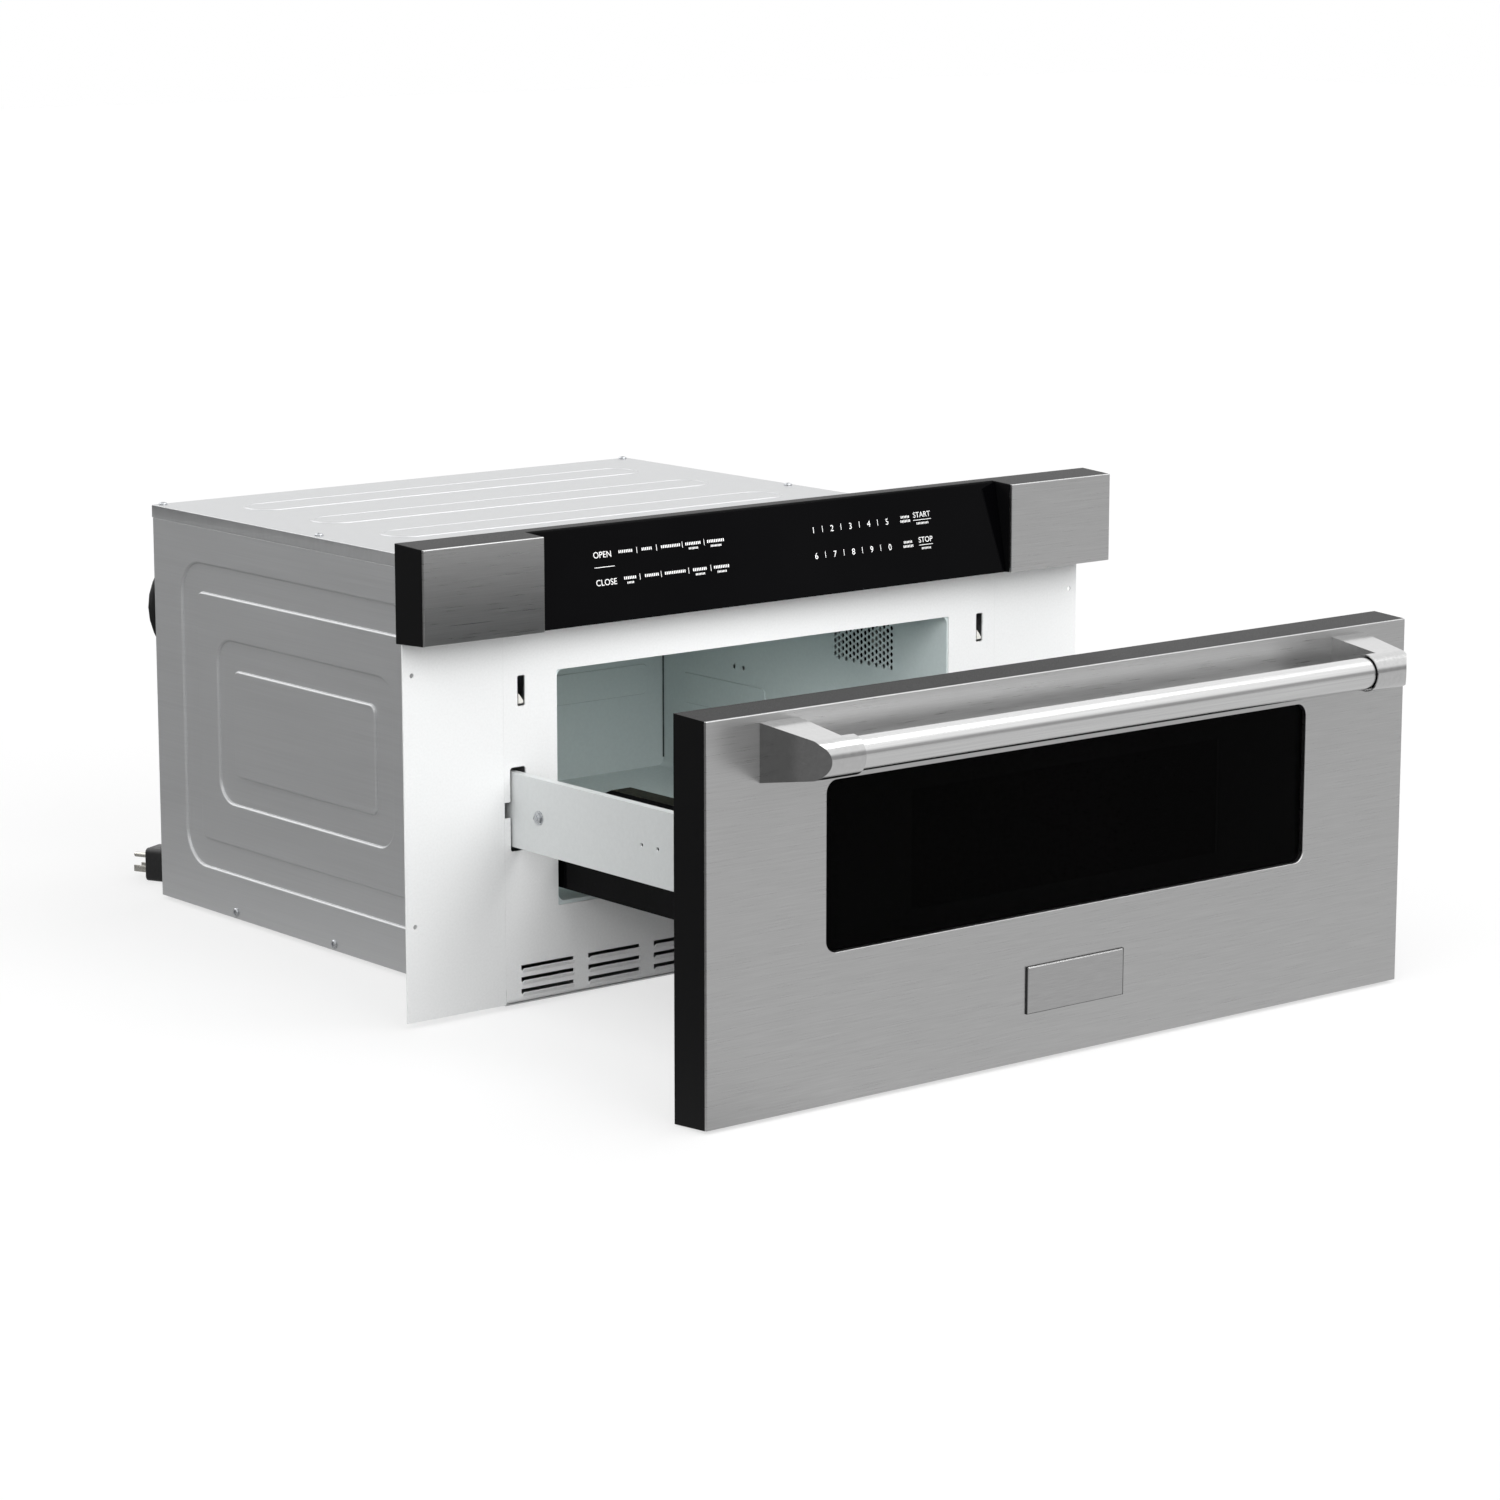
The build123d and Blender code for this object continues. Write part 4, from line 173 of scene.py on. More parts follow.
share = add_node(sweep, "Math", {
    0: to_eye.outputs[0], 1: ray.outputs["Is Glossy Ray"]}, operation="MAXIMUM")
both = add_node(sweep, "MixShader", {0: share.outputs[0], 1: matt.outputs[0], 2: lit.outputs[0]})
add_node(sweep, "OutputMaterial", {"Surface": both.outputs[0]})
form = bmesh.new()
bmesh.ops.create_grid(form, x_segments=4, y_segments=4, size=14)
floor_mesh = bpy.data.meshes.new("floor")
form.to_mesh(floor_mesh)
form.free()
floor_mesh.materials.append(sweep)
floor = bpy.data.objects.new("floor", floor_mesh)
bpy.context.collection.objects.link(floor)


# ================================================================ power cord
# Round black vinyl cord of 8 mm with a moulded three-prong plug. It leaves the back panel through a
# rubber gland with a ribbed sleeve, drops to the floor and lies there in a small coil behind the
# case.

def finish(name, base, metallic, roughness, **others):
    """New material, its shader, and the object coordinates that its patterns read."""
    material = bpy.data.materials.new(name)
    material.use_nodes = True
    shader = material.node_tree.nodes["Principled BSDF"]
    shader.inputs["Base Color"].default_value = colour(base)
    shader.inputs["Metallic"].default_value = metallic
    shader.inputs["Roughness"].default_value = roughness
    for socket, value in others.items():
        shader.inputs[socket.replace("_", " ")].default_value = value
    return material, shader, add_node(material, "TexCoord", {}).outputs["Object"]


def vary(material, shader, place, grain, tones, rough, depth, detail=3.0):
    """Noise whose grain is a length along x, y and z: it shifts the tone and the roughness a little
    and lifts the surface by depth. All lengths are metres."""
    tree = material.node_tree
    stretched = add_node(material, "Mapping", {
        "Vector": place, "Scale": [1 / size for size in grain]})
    noise = add_node(material, "TexNoise", {
        "Vector": stretched.outputs[0], "Scale": 1.0, "Detail": detail})
    spread = add_node(material, "MapRange", {
        "Value": noise.outputs[0], "From Min": 0.3, "From Max": 0.7})
    tone = add_node(material, "Mix", {
        0: spread.outputs[0], 6: colour(tones[0]), 7: colour(tones[1])}, data_type="RGBA")
    tree.links.new(tone.outputs[2], shader.inputs["Base Color"])
    gloss = add_node(material, "MapRange", {
        "Value": spread.outputs[0], "To Min": rough[0], "To Max": rough[1]})
    tree.links.new(gloss.outputs[0], shader.inputs["Roughness"])
    if depth:
        bump = add_node(material, "Bump", {"Height": spread.outputs[0], "Distance": depth})
        tree.links.new(bump.outputs[0], shader.inputs["Normal"])
    return tone


def make_piece(name, form, material, body, crease=35):
    """Finished piece from a bmesh: smooth but for its creases, riding on a body."""
    mesh = bpy.data.meshes.new(name)
    form.to_mesh(mesh)
    form.free()
    mesh.materials.append(material)
    mesh.shade_smooth()
    mesh.set_sharp_from_angle(angle=radians(crease))
    piece = bpy.data.objects.new(name, mesh)
    bpy.context.collection.objects.link(piece)
    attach(piece, body)
    return piece


# Flexible PVC jacket, extruded: soft satin black with a slight waviness of the skin, drawn at 3 mm.
vinyl, vinyl_shader, place = finish("flexible_pvc_jacket_extruded", "#0D0D0E", 0.0, 0.42)
vary(vinyl, vinyl_shader, place, (0.003, 0.003, 0.003), ("#0B0B0C", "#111112"), (0.38, 0.5),
     0.00008)

cord_radius = 0.004
gland_middle = Vector((-0.205, 0.0, 0.3295))
sleeve_foot, sleeve_tip = 0.2765, 0.3130
rib_pitch, rib_width, rib_height, rib_taper = 0.0052, 0.0031, 0.0011, 0.00042
form = bmesh.new()
# Profile of the sleeve from the flange to its thin end: distance from the gland's axis, then y.
profile = [(0.0072, sleeve_foot)]
for rib in range(6):
    rib_y = sleeve_foot + 0.0030 + rib_pitch * rib
    rib_radius = 0.0078 - rib_taper * rib
    profile += [
        (rib_radius, rib_y), (rib_radius, rib_y + rib_width),
        (rib_radius - rib_height, rib_y + 0.0036), (rib_radius - rib_height, rib_y + 0.0047)]
profile += [(0.0047, sleeve_tip - 0.0008), (cord_radius + 0.0001, sleeve_tip)]
rail_verts = [form.verts.new(gland_middle + Vector((reach, y, 0))) for reach, y in profile]
rail_edges = [form.edges.new(pair) for pair in zip(rail_verts, rail_verts[1:])]
bmesh.ops.spin(form, geom=rail_verts + rail_edges, cent=gland_middle, axis=(0, 1, 0), angle=2 * pi,
               steps=32, use_merge=True)
bmesh.ops.remove_doubles(form, verts=form.verts, dist=1e-6)
bmesh.ops.holes_fill(form, edges=[edge for edge in form.edges if edge.is_boundary])
bmesh.ops.recalc_face_normals(form, faces=form.faces)
make_piece("strain_relief", form, vinyl, "cabinet")

# Plug body in its own frame (x across, y towards the prongs, z up), then set down at its place.
plug_place = Matrix.Translation((-0.236, 0.352, 0.0162)) @ Matrix.Rotation(
    atan2(0.432, 0.902), 4, "Z")
nickel, nickel_shader, place = finish("nickel_plated_brass_stamped", "#C9C7C0", 1.0, 0.24)
vary(nickel, nickel_shader, place, (0.002, 0.002, 0.002), ("#BDBBB4", "#D2D0C9"), (0.18, 0.32),
     0.00002)
plug_width, plug_length, plug_height = 0.0275, 0.024, 0.0315
form = bmesh.new()
block = bmesh.ops.create_cube(form, size=1.0)["verts"]
bmesh.ops.scale(form, verts=block, vec=(plug_width, plug_length, plug_height))
bmesh.ops.translate(form, verts=block, vec=(0, -plug_length / 2, 0))
tail_face = min(form.faces, key=lambda face: face.calc_center_median().y)
# Steps of the tail towards the cord: length, width and height.
for length, across, high in (
    (0.004, 0.022, 0.025), (0.005, 0.019, 0.021), (0.006, 0.015, 0.016), (0.007, 0.0108, 0.0108),
):
    tail_face = bmesh.ops.extrude_discrete_faces(form, faces=[tail_face])["faces"][0]
    size_x = max(v.co.x for v in tail_face.verts) - min(v.co.x for v in tail_face.verts)
    size_z = max(v.co.z for v in tail_face.verts) - min(v.co.z for v in tail_face.verts)
    for vert in tail_face.verts:
        vert.co.x *= across / size_x
        vert.co.z *= high / size_z
        vert.co.y -= length
side_edges = [edge for edge in form.edges if abs((edge.verts[0].co - edge.verts[1].co).y) > 0.003]
bmesh.ops.bevel(form, geom=side_edges, offset=0.0042, offset_type="OFFSET", segments=4, profile=0.5,
                affect="EDGES", material=-1, clamp_overlap=True)
face_edges = [
    edge for edge in form.edges
    if all(abs(vert.co.y) < 1e-5 for vert in edge.verts) and len(edge.link_faces) == 2]
bmesh.ops.bevel(form, geom=face_edges, offset=0.0012, offset_type="OFFSET", segments=3, profile=0.5,
                affect="EDGES", material=-1, clamp_overlap=True)
# Ribs of the tail's grip.
for rib in range(3):
    rib_block = bmesh.ops.create_cube(form, size=1.0)["verts"]
    bmesh.ops.scale(form, verts=rib_block,
                    vec=(0.0262 - 0.0026 * rib, 0.0011, 0.021 - 0.0026 * rib))
    bmesh.ops.translate(form, verts=rib_block, vec=(0, -0.0262 - 0.0036 * rib, 0))
bmesh.ops.transform(form, matrix=plug_place, verts=form.verts)
plug_piece = make_piece("plug_moulding", form, vinyl, "cabinet")
# Two flat blades 12.7 mm apart and a round earth pin above them.
blade_offset = 0.00635
blade_size = (0.0015, 0.0175, 0.00635)
pin_radius, pin_length = 0.0024, 0.0205
form = bmesh.new()
for x in (-blade_offset, blade_offset):
    blade = bmesh.ops.create_cube(form, size=1.0)["verts"]
    bmesh.ops.scale(form, verts=blade, vec=blade_size)
    bmesh.ops.translate(form, verts=blade, vec=(x, 0.00825, -0.006))
bmesh.ops.bevel(form, geom=list(form.edges), offset=0.0004, offset_type="OFFSET", segments=2,
                profile=0.5, affect="EDGES", material=-1)
pin = bmesh.ops.create_cone(form, cap_ends=True, segments=20, radius1=pin_radius,
                            radius2=pin_radius, depth=pin_length)["verts"]
bmesh.ops.rotate(form, verts=pin, matrix=Matrix.Rotation(-pi / 2, 3, "X"))
bmesh.ops.translate(form, verts=pin, vec=(0, 0.00975, 0.006))
tip_edges = [
    edge for edge in form.edges if all(vert.co.y > 0.0195 for vert in edge.verts)]
bmesh.ops.bevel(form, geom=tip_edges, offset=0.0011, offset_type="OFFSET", segments=3, profile=0.5,
                affect="EDGES", material=-1)
bmesh.ops.transform(form, matrix=plug_place, verts=form.verts)
prongs = make_piece("plug_prongs", form, nickel, "cabinet")
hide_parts("plug")

# Route of the cord: out of the gland, down behind the case, two turns on the floor and on each
# other, and back to the plug.
route = [
    (-0.205, 0.282, 0.3295), (-0.205, 0.336, 0.3295), (-0.251, 0.336, 0.264),
    (-0.201, 0.336, 0.1905), (-0.196, 0.348, 0.1175), (-0.185, 0.367, 0.0545),
    (-0.160, 0.3878, 0.004), (-0.118, 0.3878, 0.004)]
coil_middle = (-0.110, 0.3394)
coil_reach = 0.04835
pitch = 0.0087
coil_turns = 2.5
points_a_turn = 16
# A curve of this kind cuts its corners, so its points stand this much further out.
outset = 1.019
for step in range(round(coil_turns * points_a_turn) + 1):
    turn = step / points_a_turn
    if turn <= 1.0:
        reach, rise = coil_reach - pitch * turn, 0.0
    elif turn >= 1.5:
        reach, rise = coil_reach - pitch * (coil_turns - turn), 1.0
    else:
        half_way = (turn - 1.0) / 0.5
        reach = coil_reach - pitch * (1 + 0.125 * (1 - (2 * half_way - 1) ** 2))
        rise = (1 - cos(pi * half_way)) / 2
    angle = pi / 2 - 2 * pi * turn
    route.append((
        coil_middle[0] + outset * reach * cos(angle), coil_middle[1] + outset * reach * sin(angle),
        cord_radius + pitch * rise))
route += [
    (-0.118, 0.2905, 0.0127), (-0.148, 0.29105, 0.0127), (-0.1792, 0.2851, 0.006),
    (-0.1962, 0.2861, 0.012), (-0.2092, 0.2961, 0.0162), (-0.2161, 0.3105, 0.0162)]
line = bpy.data.curves.new("power_cord", "CURVE")
line.dimensions = "3D"
line.bevel_depth = cord_radius
line.bevel_resolution = 5
line.resolution_u = 6
line.use_fill_caps = True
spline = line.splines.new("NURBS")
spline.points.add(len(route) - 1)
for point, spot in zip(spline.points, route):
    point.co = (*spot, 1.0)
spline.order_u = 3
spline.use_endpoint_u = True
line.materials.append(vinyl)
power_cord = bpy.data.objects.new("power_cord", line)
bpy.context.collection.objects.link(power_cord)
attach(power_cord, "cabinet")
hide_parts("cord_run", "cord_coil", "cord_lead")


# ================================================================ steel case
# Folded and spot-welded galvanised sheet of 1.2 mm: base pan with a pressed foot field, two sides
# with pressed rings, a lid whose lips hang over the sides, and a slotted back. Held by screws.

def dress(material, *nodes):
    """Give CAD nodes their finish."""
    for node in nodes:
        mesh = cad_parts[node].data
        mesh.materials.clear()
        mesh.materials.append(material)


def eased(node, width, material, body, steps=2, corner=30, folds=(), sunk=None):
    """Copy of a CAD node with its edges rounded by width, and first its folds, each a radius and a
    test of the points that lie on it; the copy stands for the node. The faces at the height sunk
    get a shallow flat step inside their outline."""
    form = bmesh.new()
    form.from_mesh(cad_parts[node].data)
    bmesh.ops.remove_doubles(form, verts=form.verts, dist=2e-6)
    bmesh.ops.dissolve_limit(form, angle_limit=radians(1), verts=form.verts, edges=form.edges)
    if sunk:
        crowns = [
            face for face in form.faces if all(abs(vert.co.z - sunk) < 2e-5 for vert in face.verts)]
        bmesh.ops.inset_individual(form, faces=crowns, thickness=0.0030, use_even_offset=True)
        bmesh.ops.inset_individual(form, faces=crowns, thickness=0.0006, depth=-0.0007,
                                   use_even_offset=True)
    for radius, segments, on_fold in (*folds, (width, steps, lambda spot: True)):
        sharp = [
            edge for edge in form.edges
            if len(edge.link_faces) == 2 and edge.calc_face_angle() > radians(corner)
            and on_fold(edge.verts[0].co) and on_fold(edge.verts[1].co)]
        bmesh.ops.bevel(form, geom=sharp, offset=radius, offset_type="OFFSET", segments=segments,
                        profile=0.5, affect="EDGES", material=-1, clamp_overlap=True)
    piece = make_piece(node + "_formed", form, material, body)
    harden = piece.modifiers.new("flat_faces", "WEIGHTED_NORMAL")
    harden.keep_sharp = True
    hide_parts(node)
    return piece


# Hot-dip galvanised sheet, skin-passed: even grey zinc with very faint rolling lines along the
# sheet and a soft half-matt reflection. The lines are drawn at 1.5 mm, not their real 0.3 mm.
zinc, zinc_shader, place = finish("galvanised_steel_sheet_rolled", "#C3C4C5", 0.65, 0.42)
vary(zinc, zinc_shader, place, (0.3, 0.16, 0.0015), ("#C0C1C2", "#C6C7C8"), (0.38, 0.46), 0.000004)
# Skin-passed lid: the same zinc, brighter for lying level under the lamps, with specks of 4 mm.
lid_zinc, lid_shader, place = finish("galvanised_steel_sheet_lid", "#C3C4C5", 0.7, 0.44)
vary(lid_zinc, lid_shader, place, (0.012, 0.004, 0.012), ("#C0C1C2", "#C6C7C8"), (0.4, 0.48),
     0.000004)
dress(zinc, "base_plate", "rear_panel")


side_face = 0.2744
ring_middle_y, ring_middle_z = 0.029, 0.1855
ring_half_length, ring_half_height = 0.205, 0.146


def on_rings(spot):
    """Whether a point lies on the outer face of a side, at the edge of a pressed ring."""
    return (abs(spot.x) > side_face and abs(spot.y - ring_middle_y) < ring_half_length
            and abs(spot.z - ring_middle_z) < ring_half_height)


lid_top, bead_crown = 0.3711, 0.3721


def on_lid_folds(spot):
    """Whether a point lies on the lid's upper side, on a bead's edge or the outer fold."""
    return spot.z > lid_top


for side_panel in ("side_panel_left", "side_panel_right"):
    eased(side_panel, 0.0003, zinc, "cabinet", folds=((0.0020, 5, on_rings),))
eased("top_cover", 0.0002, lid_zinc, "cabinet",
      folds=((0.0005, 3, on_lid_folds),), sunk=bead_crown)


# ================================================================ case screws
# Zinc-plated pan-head screws with a cross recess, three along each side of the lid and three in
# each lip of the base.

plating, plating_shader, place = finish("zinc_plated_steel_bright", "#BFC1C4", 1.0, 0.3)
vary(plating, plating_shader, place, (0.0015, 0.0015, 0.0015), ("#AFB2B6", "#CDCFD1"), (0.22, 0.4),
     0.00003)


def pan_head(radius, height):
    """Mesh of a domed screw head with a cross recess, standing on the origin along z."""
    form = bmesh.new()
    dome = [(radius, 0.0)] + [
        (radius * cos(radians(turn)) ** 0.6, height * (0.35 + 0.65 * sin(radians(turn))))
        for turn in (0, 20, 40, 58, 74, 86)] + [(0.0, height)]
    verts = [form.verts.new((reach, 0, rise)) for reach, rise in dome]
    edges = [form.edges.new(pair) for pair in zip(verts, verts[1:])]
    bmesh.ops.spin(form, geom=verts + edges, cent=(0, 0, 0), axis=(0, 0, 1), angle=2 * pi, steps=24,
                   use_merge=True)
    bmesh.ops.remove_doubles(form, verts=form.verts, dist=1e-6)
    bmesh.ops.holes_fill(form, edges=[edge for edge in form.edges if edge.is_boundary])
    bmesh.ops.recalc_face_normals(form, faces=form.faces)
    head = bpy.data.meshes.new("pan_head")
    form.to_mesh(head)
    form.clear()
    for turn in (0, pi / 2):
        arm = bmesh.ops.create_cube(form, size=1.0)["verts"]
        bmesh.ops.scale(form, verts=arm, vec=(1.15 * radius, 0.24 * radius, height))
        bmesh.ops.rotate(form, verts=arm, matrix=Matrix.Rotation(turn, 3, "Z"))
        bmesh.ops.translate(form, verts=arm, vec=(0, 0, height + 0.00001 * turn))
    tool = bpy.data.meshes.new("cross_tool")
    form.to_mesh(tool)
    form.free()
    head_object = bpy.data.objects.new("pan_head", head)
    tool_object = bpy.data.objects.new("cross_tool", tool)
    for helper in (head_object, tool_object):
        bpy.context.collection.objects.link(helper)
    cut = head_object.modifiers.new("recess", "BOOLEAN")
    cut.object = tool_object
    cut.operation = "DIFFERENCE"
    cut.solver = "EXACT"
    cut.use_self = True
    graph = bpy.context.evaluated_depsgraph_get()
    finished = bpy.data.meshes.new_from_object(head_object.evaluated_get(graph))
    bpy.data.objects.remove(head_object)
    bpy.data.objects.remove(tool_object)
    return finished


def add_copy(form, mesh, matrix):
    """Add a placed copy of a mesh to a bmesh."""
    known = set(form.verts)
    form.from_mesh(mesh)
    added = [vert for vert in form.verts if vert not in known]
    bmesh.ops.transform(form, matrix=matrix, verts=added)


screw_mesh = pan_head(0.004, 0.0022)
lid_screw_x, lid_screw_seat = 0.266, 0.3712
base_screw_seat, base_screw_z = 0.2745, 0.0101
form = bmesh.new()
for number, y in enumerate((0.268, 0.010, -0.130)):
    for x in (-lid_screw_x, lid_screw_x):
        spot = Matrix.Translation((x, y, lid_screw_seat))
        add_copy(form, screw_mesh, spot @ Matrix.Rotation(0.7 * number, 4, "Z"))
for number, y in enumerate((0.1445, -0.0156, -0.1757)):
    for side in (-1, 1):
        spot = Matrix.Translation((side * base_screw_seat, y, base_screw_z))
        turn = Matrix.Rotation(side * pi / 2, 4, "Y") @ Matrix.Rotation(0.5 + number, 4, "Z")
        add_copy(form, screw_mesh, spot @ turn)
case_screw_heads = make_piece("case_screw_heads", form, plating, "cabinet")
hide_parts("case_screws")


# ================================================================ white front
# Powder-coated steel panel with the cavity's opening, runner holes, latch slots and pressed
# louvres, and two flat mounting flanges that hold the oven in its cupboard.

# Powder coat, sprayed and baked: clean white, half gloss, with a faint orange peel of 2 mm.
powder, powder_shader, place = finish("white_powder_coat_on_steel", "#EDEEEE", 0.0, 0.4)
vary(powder, powder_shader, place, (0.002, 0.002, 0.002), ("#EBECEC", "#F0F1F1"), (0.36, 0.46),
     0.00002)
dress(powder, "front_frame", "mounting_flanges")


# ================================================================ interlock
# Behind each latch slot a snap switch and a pivoted nylon lever, whose slanted end shows in the
# slot.

# Nylon, injection moulded: milky white, slightly translucent to the eye, fine satin.
nylon, nylon_shader, place = finish(
    "natural_nylon_moulded", "#E6E5DF", 0.0, 0.38, Subsurface_Weight=0.1)
nylon_shader.inputs["Subsurface Radius"].default_value = (0.002, 0.002, 0.0018)
vary(nylon, nylon_shader, place, (0.004, 0.004, 0.004), ("#E2E1DA", "#EAE9E4"), (0.32, 0.46),
     0.00003)
# Glass-filled nylon of switches and housings: dark grey, matt, with a fine eroded texture.
dark_moulding, dark_shader, place = finish("grey_glass_filled_nylon_moulded", "#3B3D40", 0.0, 0.55)
vary(dark_moulding, dark_shader, place, (0.0012, 0.0012, 0.0012), ("#37393C", "#414347"),
     (0.48, 0.62), 0.00004)
dress(nylon, "interlock_lever_left", "interlock_lever_right")
dress(dark_moulding, "interlock_switches")


# ================================================================ oven cavity
# Welded box of painted steel behind the white front, with stiffening embossments, a punched air
# screen with a lamp behind it, a stirrer under its mica cover in the roof, and the wave feed.

# Epoxy cavity paint on steel, stoved: very pale grey-green, glossy enough to mirror the light
# softly.
cavity_paint, cavity_shader, place = finish("grey_epoxy_cavity_paint_stoved", "#D2DCDC", 0.0, 0.2)
vary(cavity_paint, cavity_shader, place, (0.003, 0.003, 0.003), ("#D0DADA", "#D4DEDE"),
     (0.17, 0.24), 0.00001)
eased("cavity_liner", 0.0007, cavity_paint, "cabinet", corner=25)
dress(zinc, "waveguide")

# Dark strips down the two rear corners, 1.6 mm wide: painted shade of the creases where the back
# wall meets the sides.
crease_shade_radius = 0.0008
crease_shade_length = 0.183
cavity_half_width = 0.218
liner_low, liner_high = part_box("cavity_liner")
# Grey-green near black, a little patchy: the colour of the painted crease shade.
crease_shade_paint, crease_shade_shader, place = finish("painted_corner_crease_shade", "#3C4444", 0.0, 0.45)
vary(crease_shade_paint, crease_shade_shader, place, (0.002, 0.002, 0.002), ("#353C3C", "#434B4B"), (0.38, 0.52),
     0.0001)
form = bmesh.new()
for side in (-1, 1):
    crease_shade_strip = bmesh.ops.create_cone(form, cap_ends=True, segments=12, radius1=crease_shade_radius,
                                 radius2=crease_shade_radius, depth=crease_shade_length)["verts"]
    bmesh.ops.translate(form, verts=crease_shade_strip, vec=(
        side * (cavity_half_width - crease_shade_radius / 2), liner_high.y - 0.0014,
        (liner_low.z + liner_high.z) / 2))
# The strips are painted shade in the corners, not welds.
make_piece("cavity_corner_crease_shade", form, crease_shade_paint, "cabinet")

# Matt black on the lamp's hood: painted shade, so that the punched screen's holes in front of it
# look black.
hood_painted_shade, hood_shade_shader, place = finish("painted_shade_black_on_lamp_hood", "#121212", 0.0, 0.65)
vary(hood_painted_shade, hood_shade_shader, place, (0.002, 0.002, 0.002), ("#101010", "#161616"), (0.58, 0.72),
     0.00003)
dress(hood_painted_shade, "lamp_hood")

# Aluminium sheet and extrusion: bright, soft, with faint drawing lines.
aluminium, aluminium_shader, place = finish("mill_finish_aluminium", "#C8C9CB", 1.0, 0.34)
vary(aluminium, aluminium_shader, place, (0.04, 0.001, 0.04), ("#BFC0C2", "#D0D1D3"), (0.28, 0.42),
     0.00002)
dress(aluminium, "stirrer", "magnetron", "capacitor")
dress(plating, "stirrer_motor")

# Mica board, pressed flakes: silvery tan with darker flakes of about 6 mm and a pearly sheen.
mica, mica_shader, place = finish("pressed_mica_board", "#B7AD8F", 0.0, 0.35)
vary(mica, mica_shader, place, (0.006, 0.006, 0.006), ("#9C9172", "#CBC2A6"), (0.25, 0.5), 0.00005,
     detail=5.0)
dress(mica, "stirrer_cover")

# Soda glass of the lamp: clear, blown, with a white ceramic base seen through it.
bulb_glass, bulb_shader, place = finish(
    "lamp_glass_blown", "#F4F1E6", 0.0, 0.06, Transmission_Weight=0.6)
vary(bulb_glass, bulb_shader, place, (0.01, 0.01, 0.01), ("#F1EEE2", "#F8F6EE"), (0.04, 0.1), 0.0)
dress(bulb_glass, "cavity_lamp")


# ================================================================ machine space
# Power transformer, capacitor and cooling blower on the base behind the cavity.

# Laminated core and windings: grey varnished sheets edge-on, and copper wire between them.
core_middle_y, core_half_depth = 0.180, 0.0242
winding_middles, winding_half_height = (0.0282, 0.0582), 0.0112
core, core_shader, place = finish("varnished_core_laminations", "#5A5C5E", 0.6, 0.45)
spot_parts = add_node(core, "SeparateXYZ", {0: place})
layers = add_node(core, "TexWave", {
    "Vector": place, "Scale": 90.0, "Distortion": 0.2}, bands_direction="Z")
in_winding = [
    add_node(core, "Math", {
        0: add_node(core, "Math", {
            0: spot_parts.outputs["Z"], 1: middle}, operation="SUBTRACT").outputs[0]},
        operation="ABSOLUTE")
    for middle in winding_middles]
nearest = add_node(core, "Math", {
    0: in_winding[0].outputs[0], 1: in_winding[1].outputs[0]}, operation="MINIMUM")
off_middle = add_node(core, "Math", {
    0: add_node(core, "Math", {
        0: spot_parts.outputs["Y"], 1: core_middle_y}, operation="SUBTRACT").outputs[0]},
    operation="ABSOLUTE")
out_of_core = add_node(core, "Math", {
    0: off_middle.outputs[0], 1: core_half_depth}, operation="GREATER_THAN")
near_layer = add_node(core, "Math", {
    0: nearest.outputs[0], 1: winding_half_height}, operation="LESS_THAN")
copper_here = add_node(core, "Math", {
    0: out_of_core.outputs[0], 1: near_layer.outputs[0]}, operation="MULTIPLY")
sheets = add_node(core, "Mix", {
    0: layers.outputs["Fac"], 6: colour("#4B4D4F"), 7: colour("#6B6E70")}, data_type="RGBA")
wires = add_node(core, "Mix", {
    0: layers.outputs["Fac"], 6: colour("#7E3F22"), 7: colour("#C4703F")}, data_type="RGBA")
core_tone = add_node(core, "Mix", {
    0: copper_here.outputs[0], 6: sheets.outputs[2], 7: wires.outputs[2]}, data_type="RGBA")
core.node_tree.links.new(core_tone.outputs[2], core_shader.inputs["Base Color"])
core_bump = add_node(core, "Bump", {"Height": layers.outputs["Fac"], "Distance": 0.0002})
core.node_tree.links.new(core_bump.outputs[0], core_shader.inputs["Normal"])
dress(core, "power_transformer")
dress(dark_moulding, "blower_housing", "blower_wheel")
dress(plating, "blower_motor")


# ================================================================ runners and rack drive
# Roll-formed rails on the cavity walls, nylon rollers on steel pins, and an acetal rack on the
# right arm that a small gear motor drives.

# Acetal, machined and moulded: dense ivory plastic, waxy half gloss.
acetal, acetal_shader, place = finish("natural_acetal_moulded", "#DAD6C8", 0.0, 0.36)
vary(acetal, acetal_shader, place, (0.003, 0.003, 0.003), ("#D5D1C2", "#E0DCD0"), (0.3, 0.44),
     0.00002)
dress(zinc, "rail_left", "rail_right")
dress(nylon, "front_roller_left", "front_roller_right", "rear_roller_left", "rear_roller_right",
      "guide_shoes")
dress(acetal, "drive_pinion", "drive_rack")
dress(plating, "drive_motor")


# ================================================================ drawer arms
# Folded steel channels, painted near white, that carry the drawer. A nut on a washer holds the
# rear roller's bracket on each.

# Stoved paint, sprayed: plain off-white, half gloss, with a fine orange peel of 3 mm.
arm_paint, arm_shader, place = finish("off_white_stoved_paint", "#CACDCD", 0.0, 0.36)
vary(arm_paint, arm_shader, place, (0.003, 0.003, 0.003), ("#C8CBCB", "#CCCFCF"), (0.33, 0.4),
     0.00001)
for arm in ("arm_left", "arm_right"):
    eased(arm, 0.0004, arm_paint, "drawer")

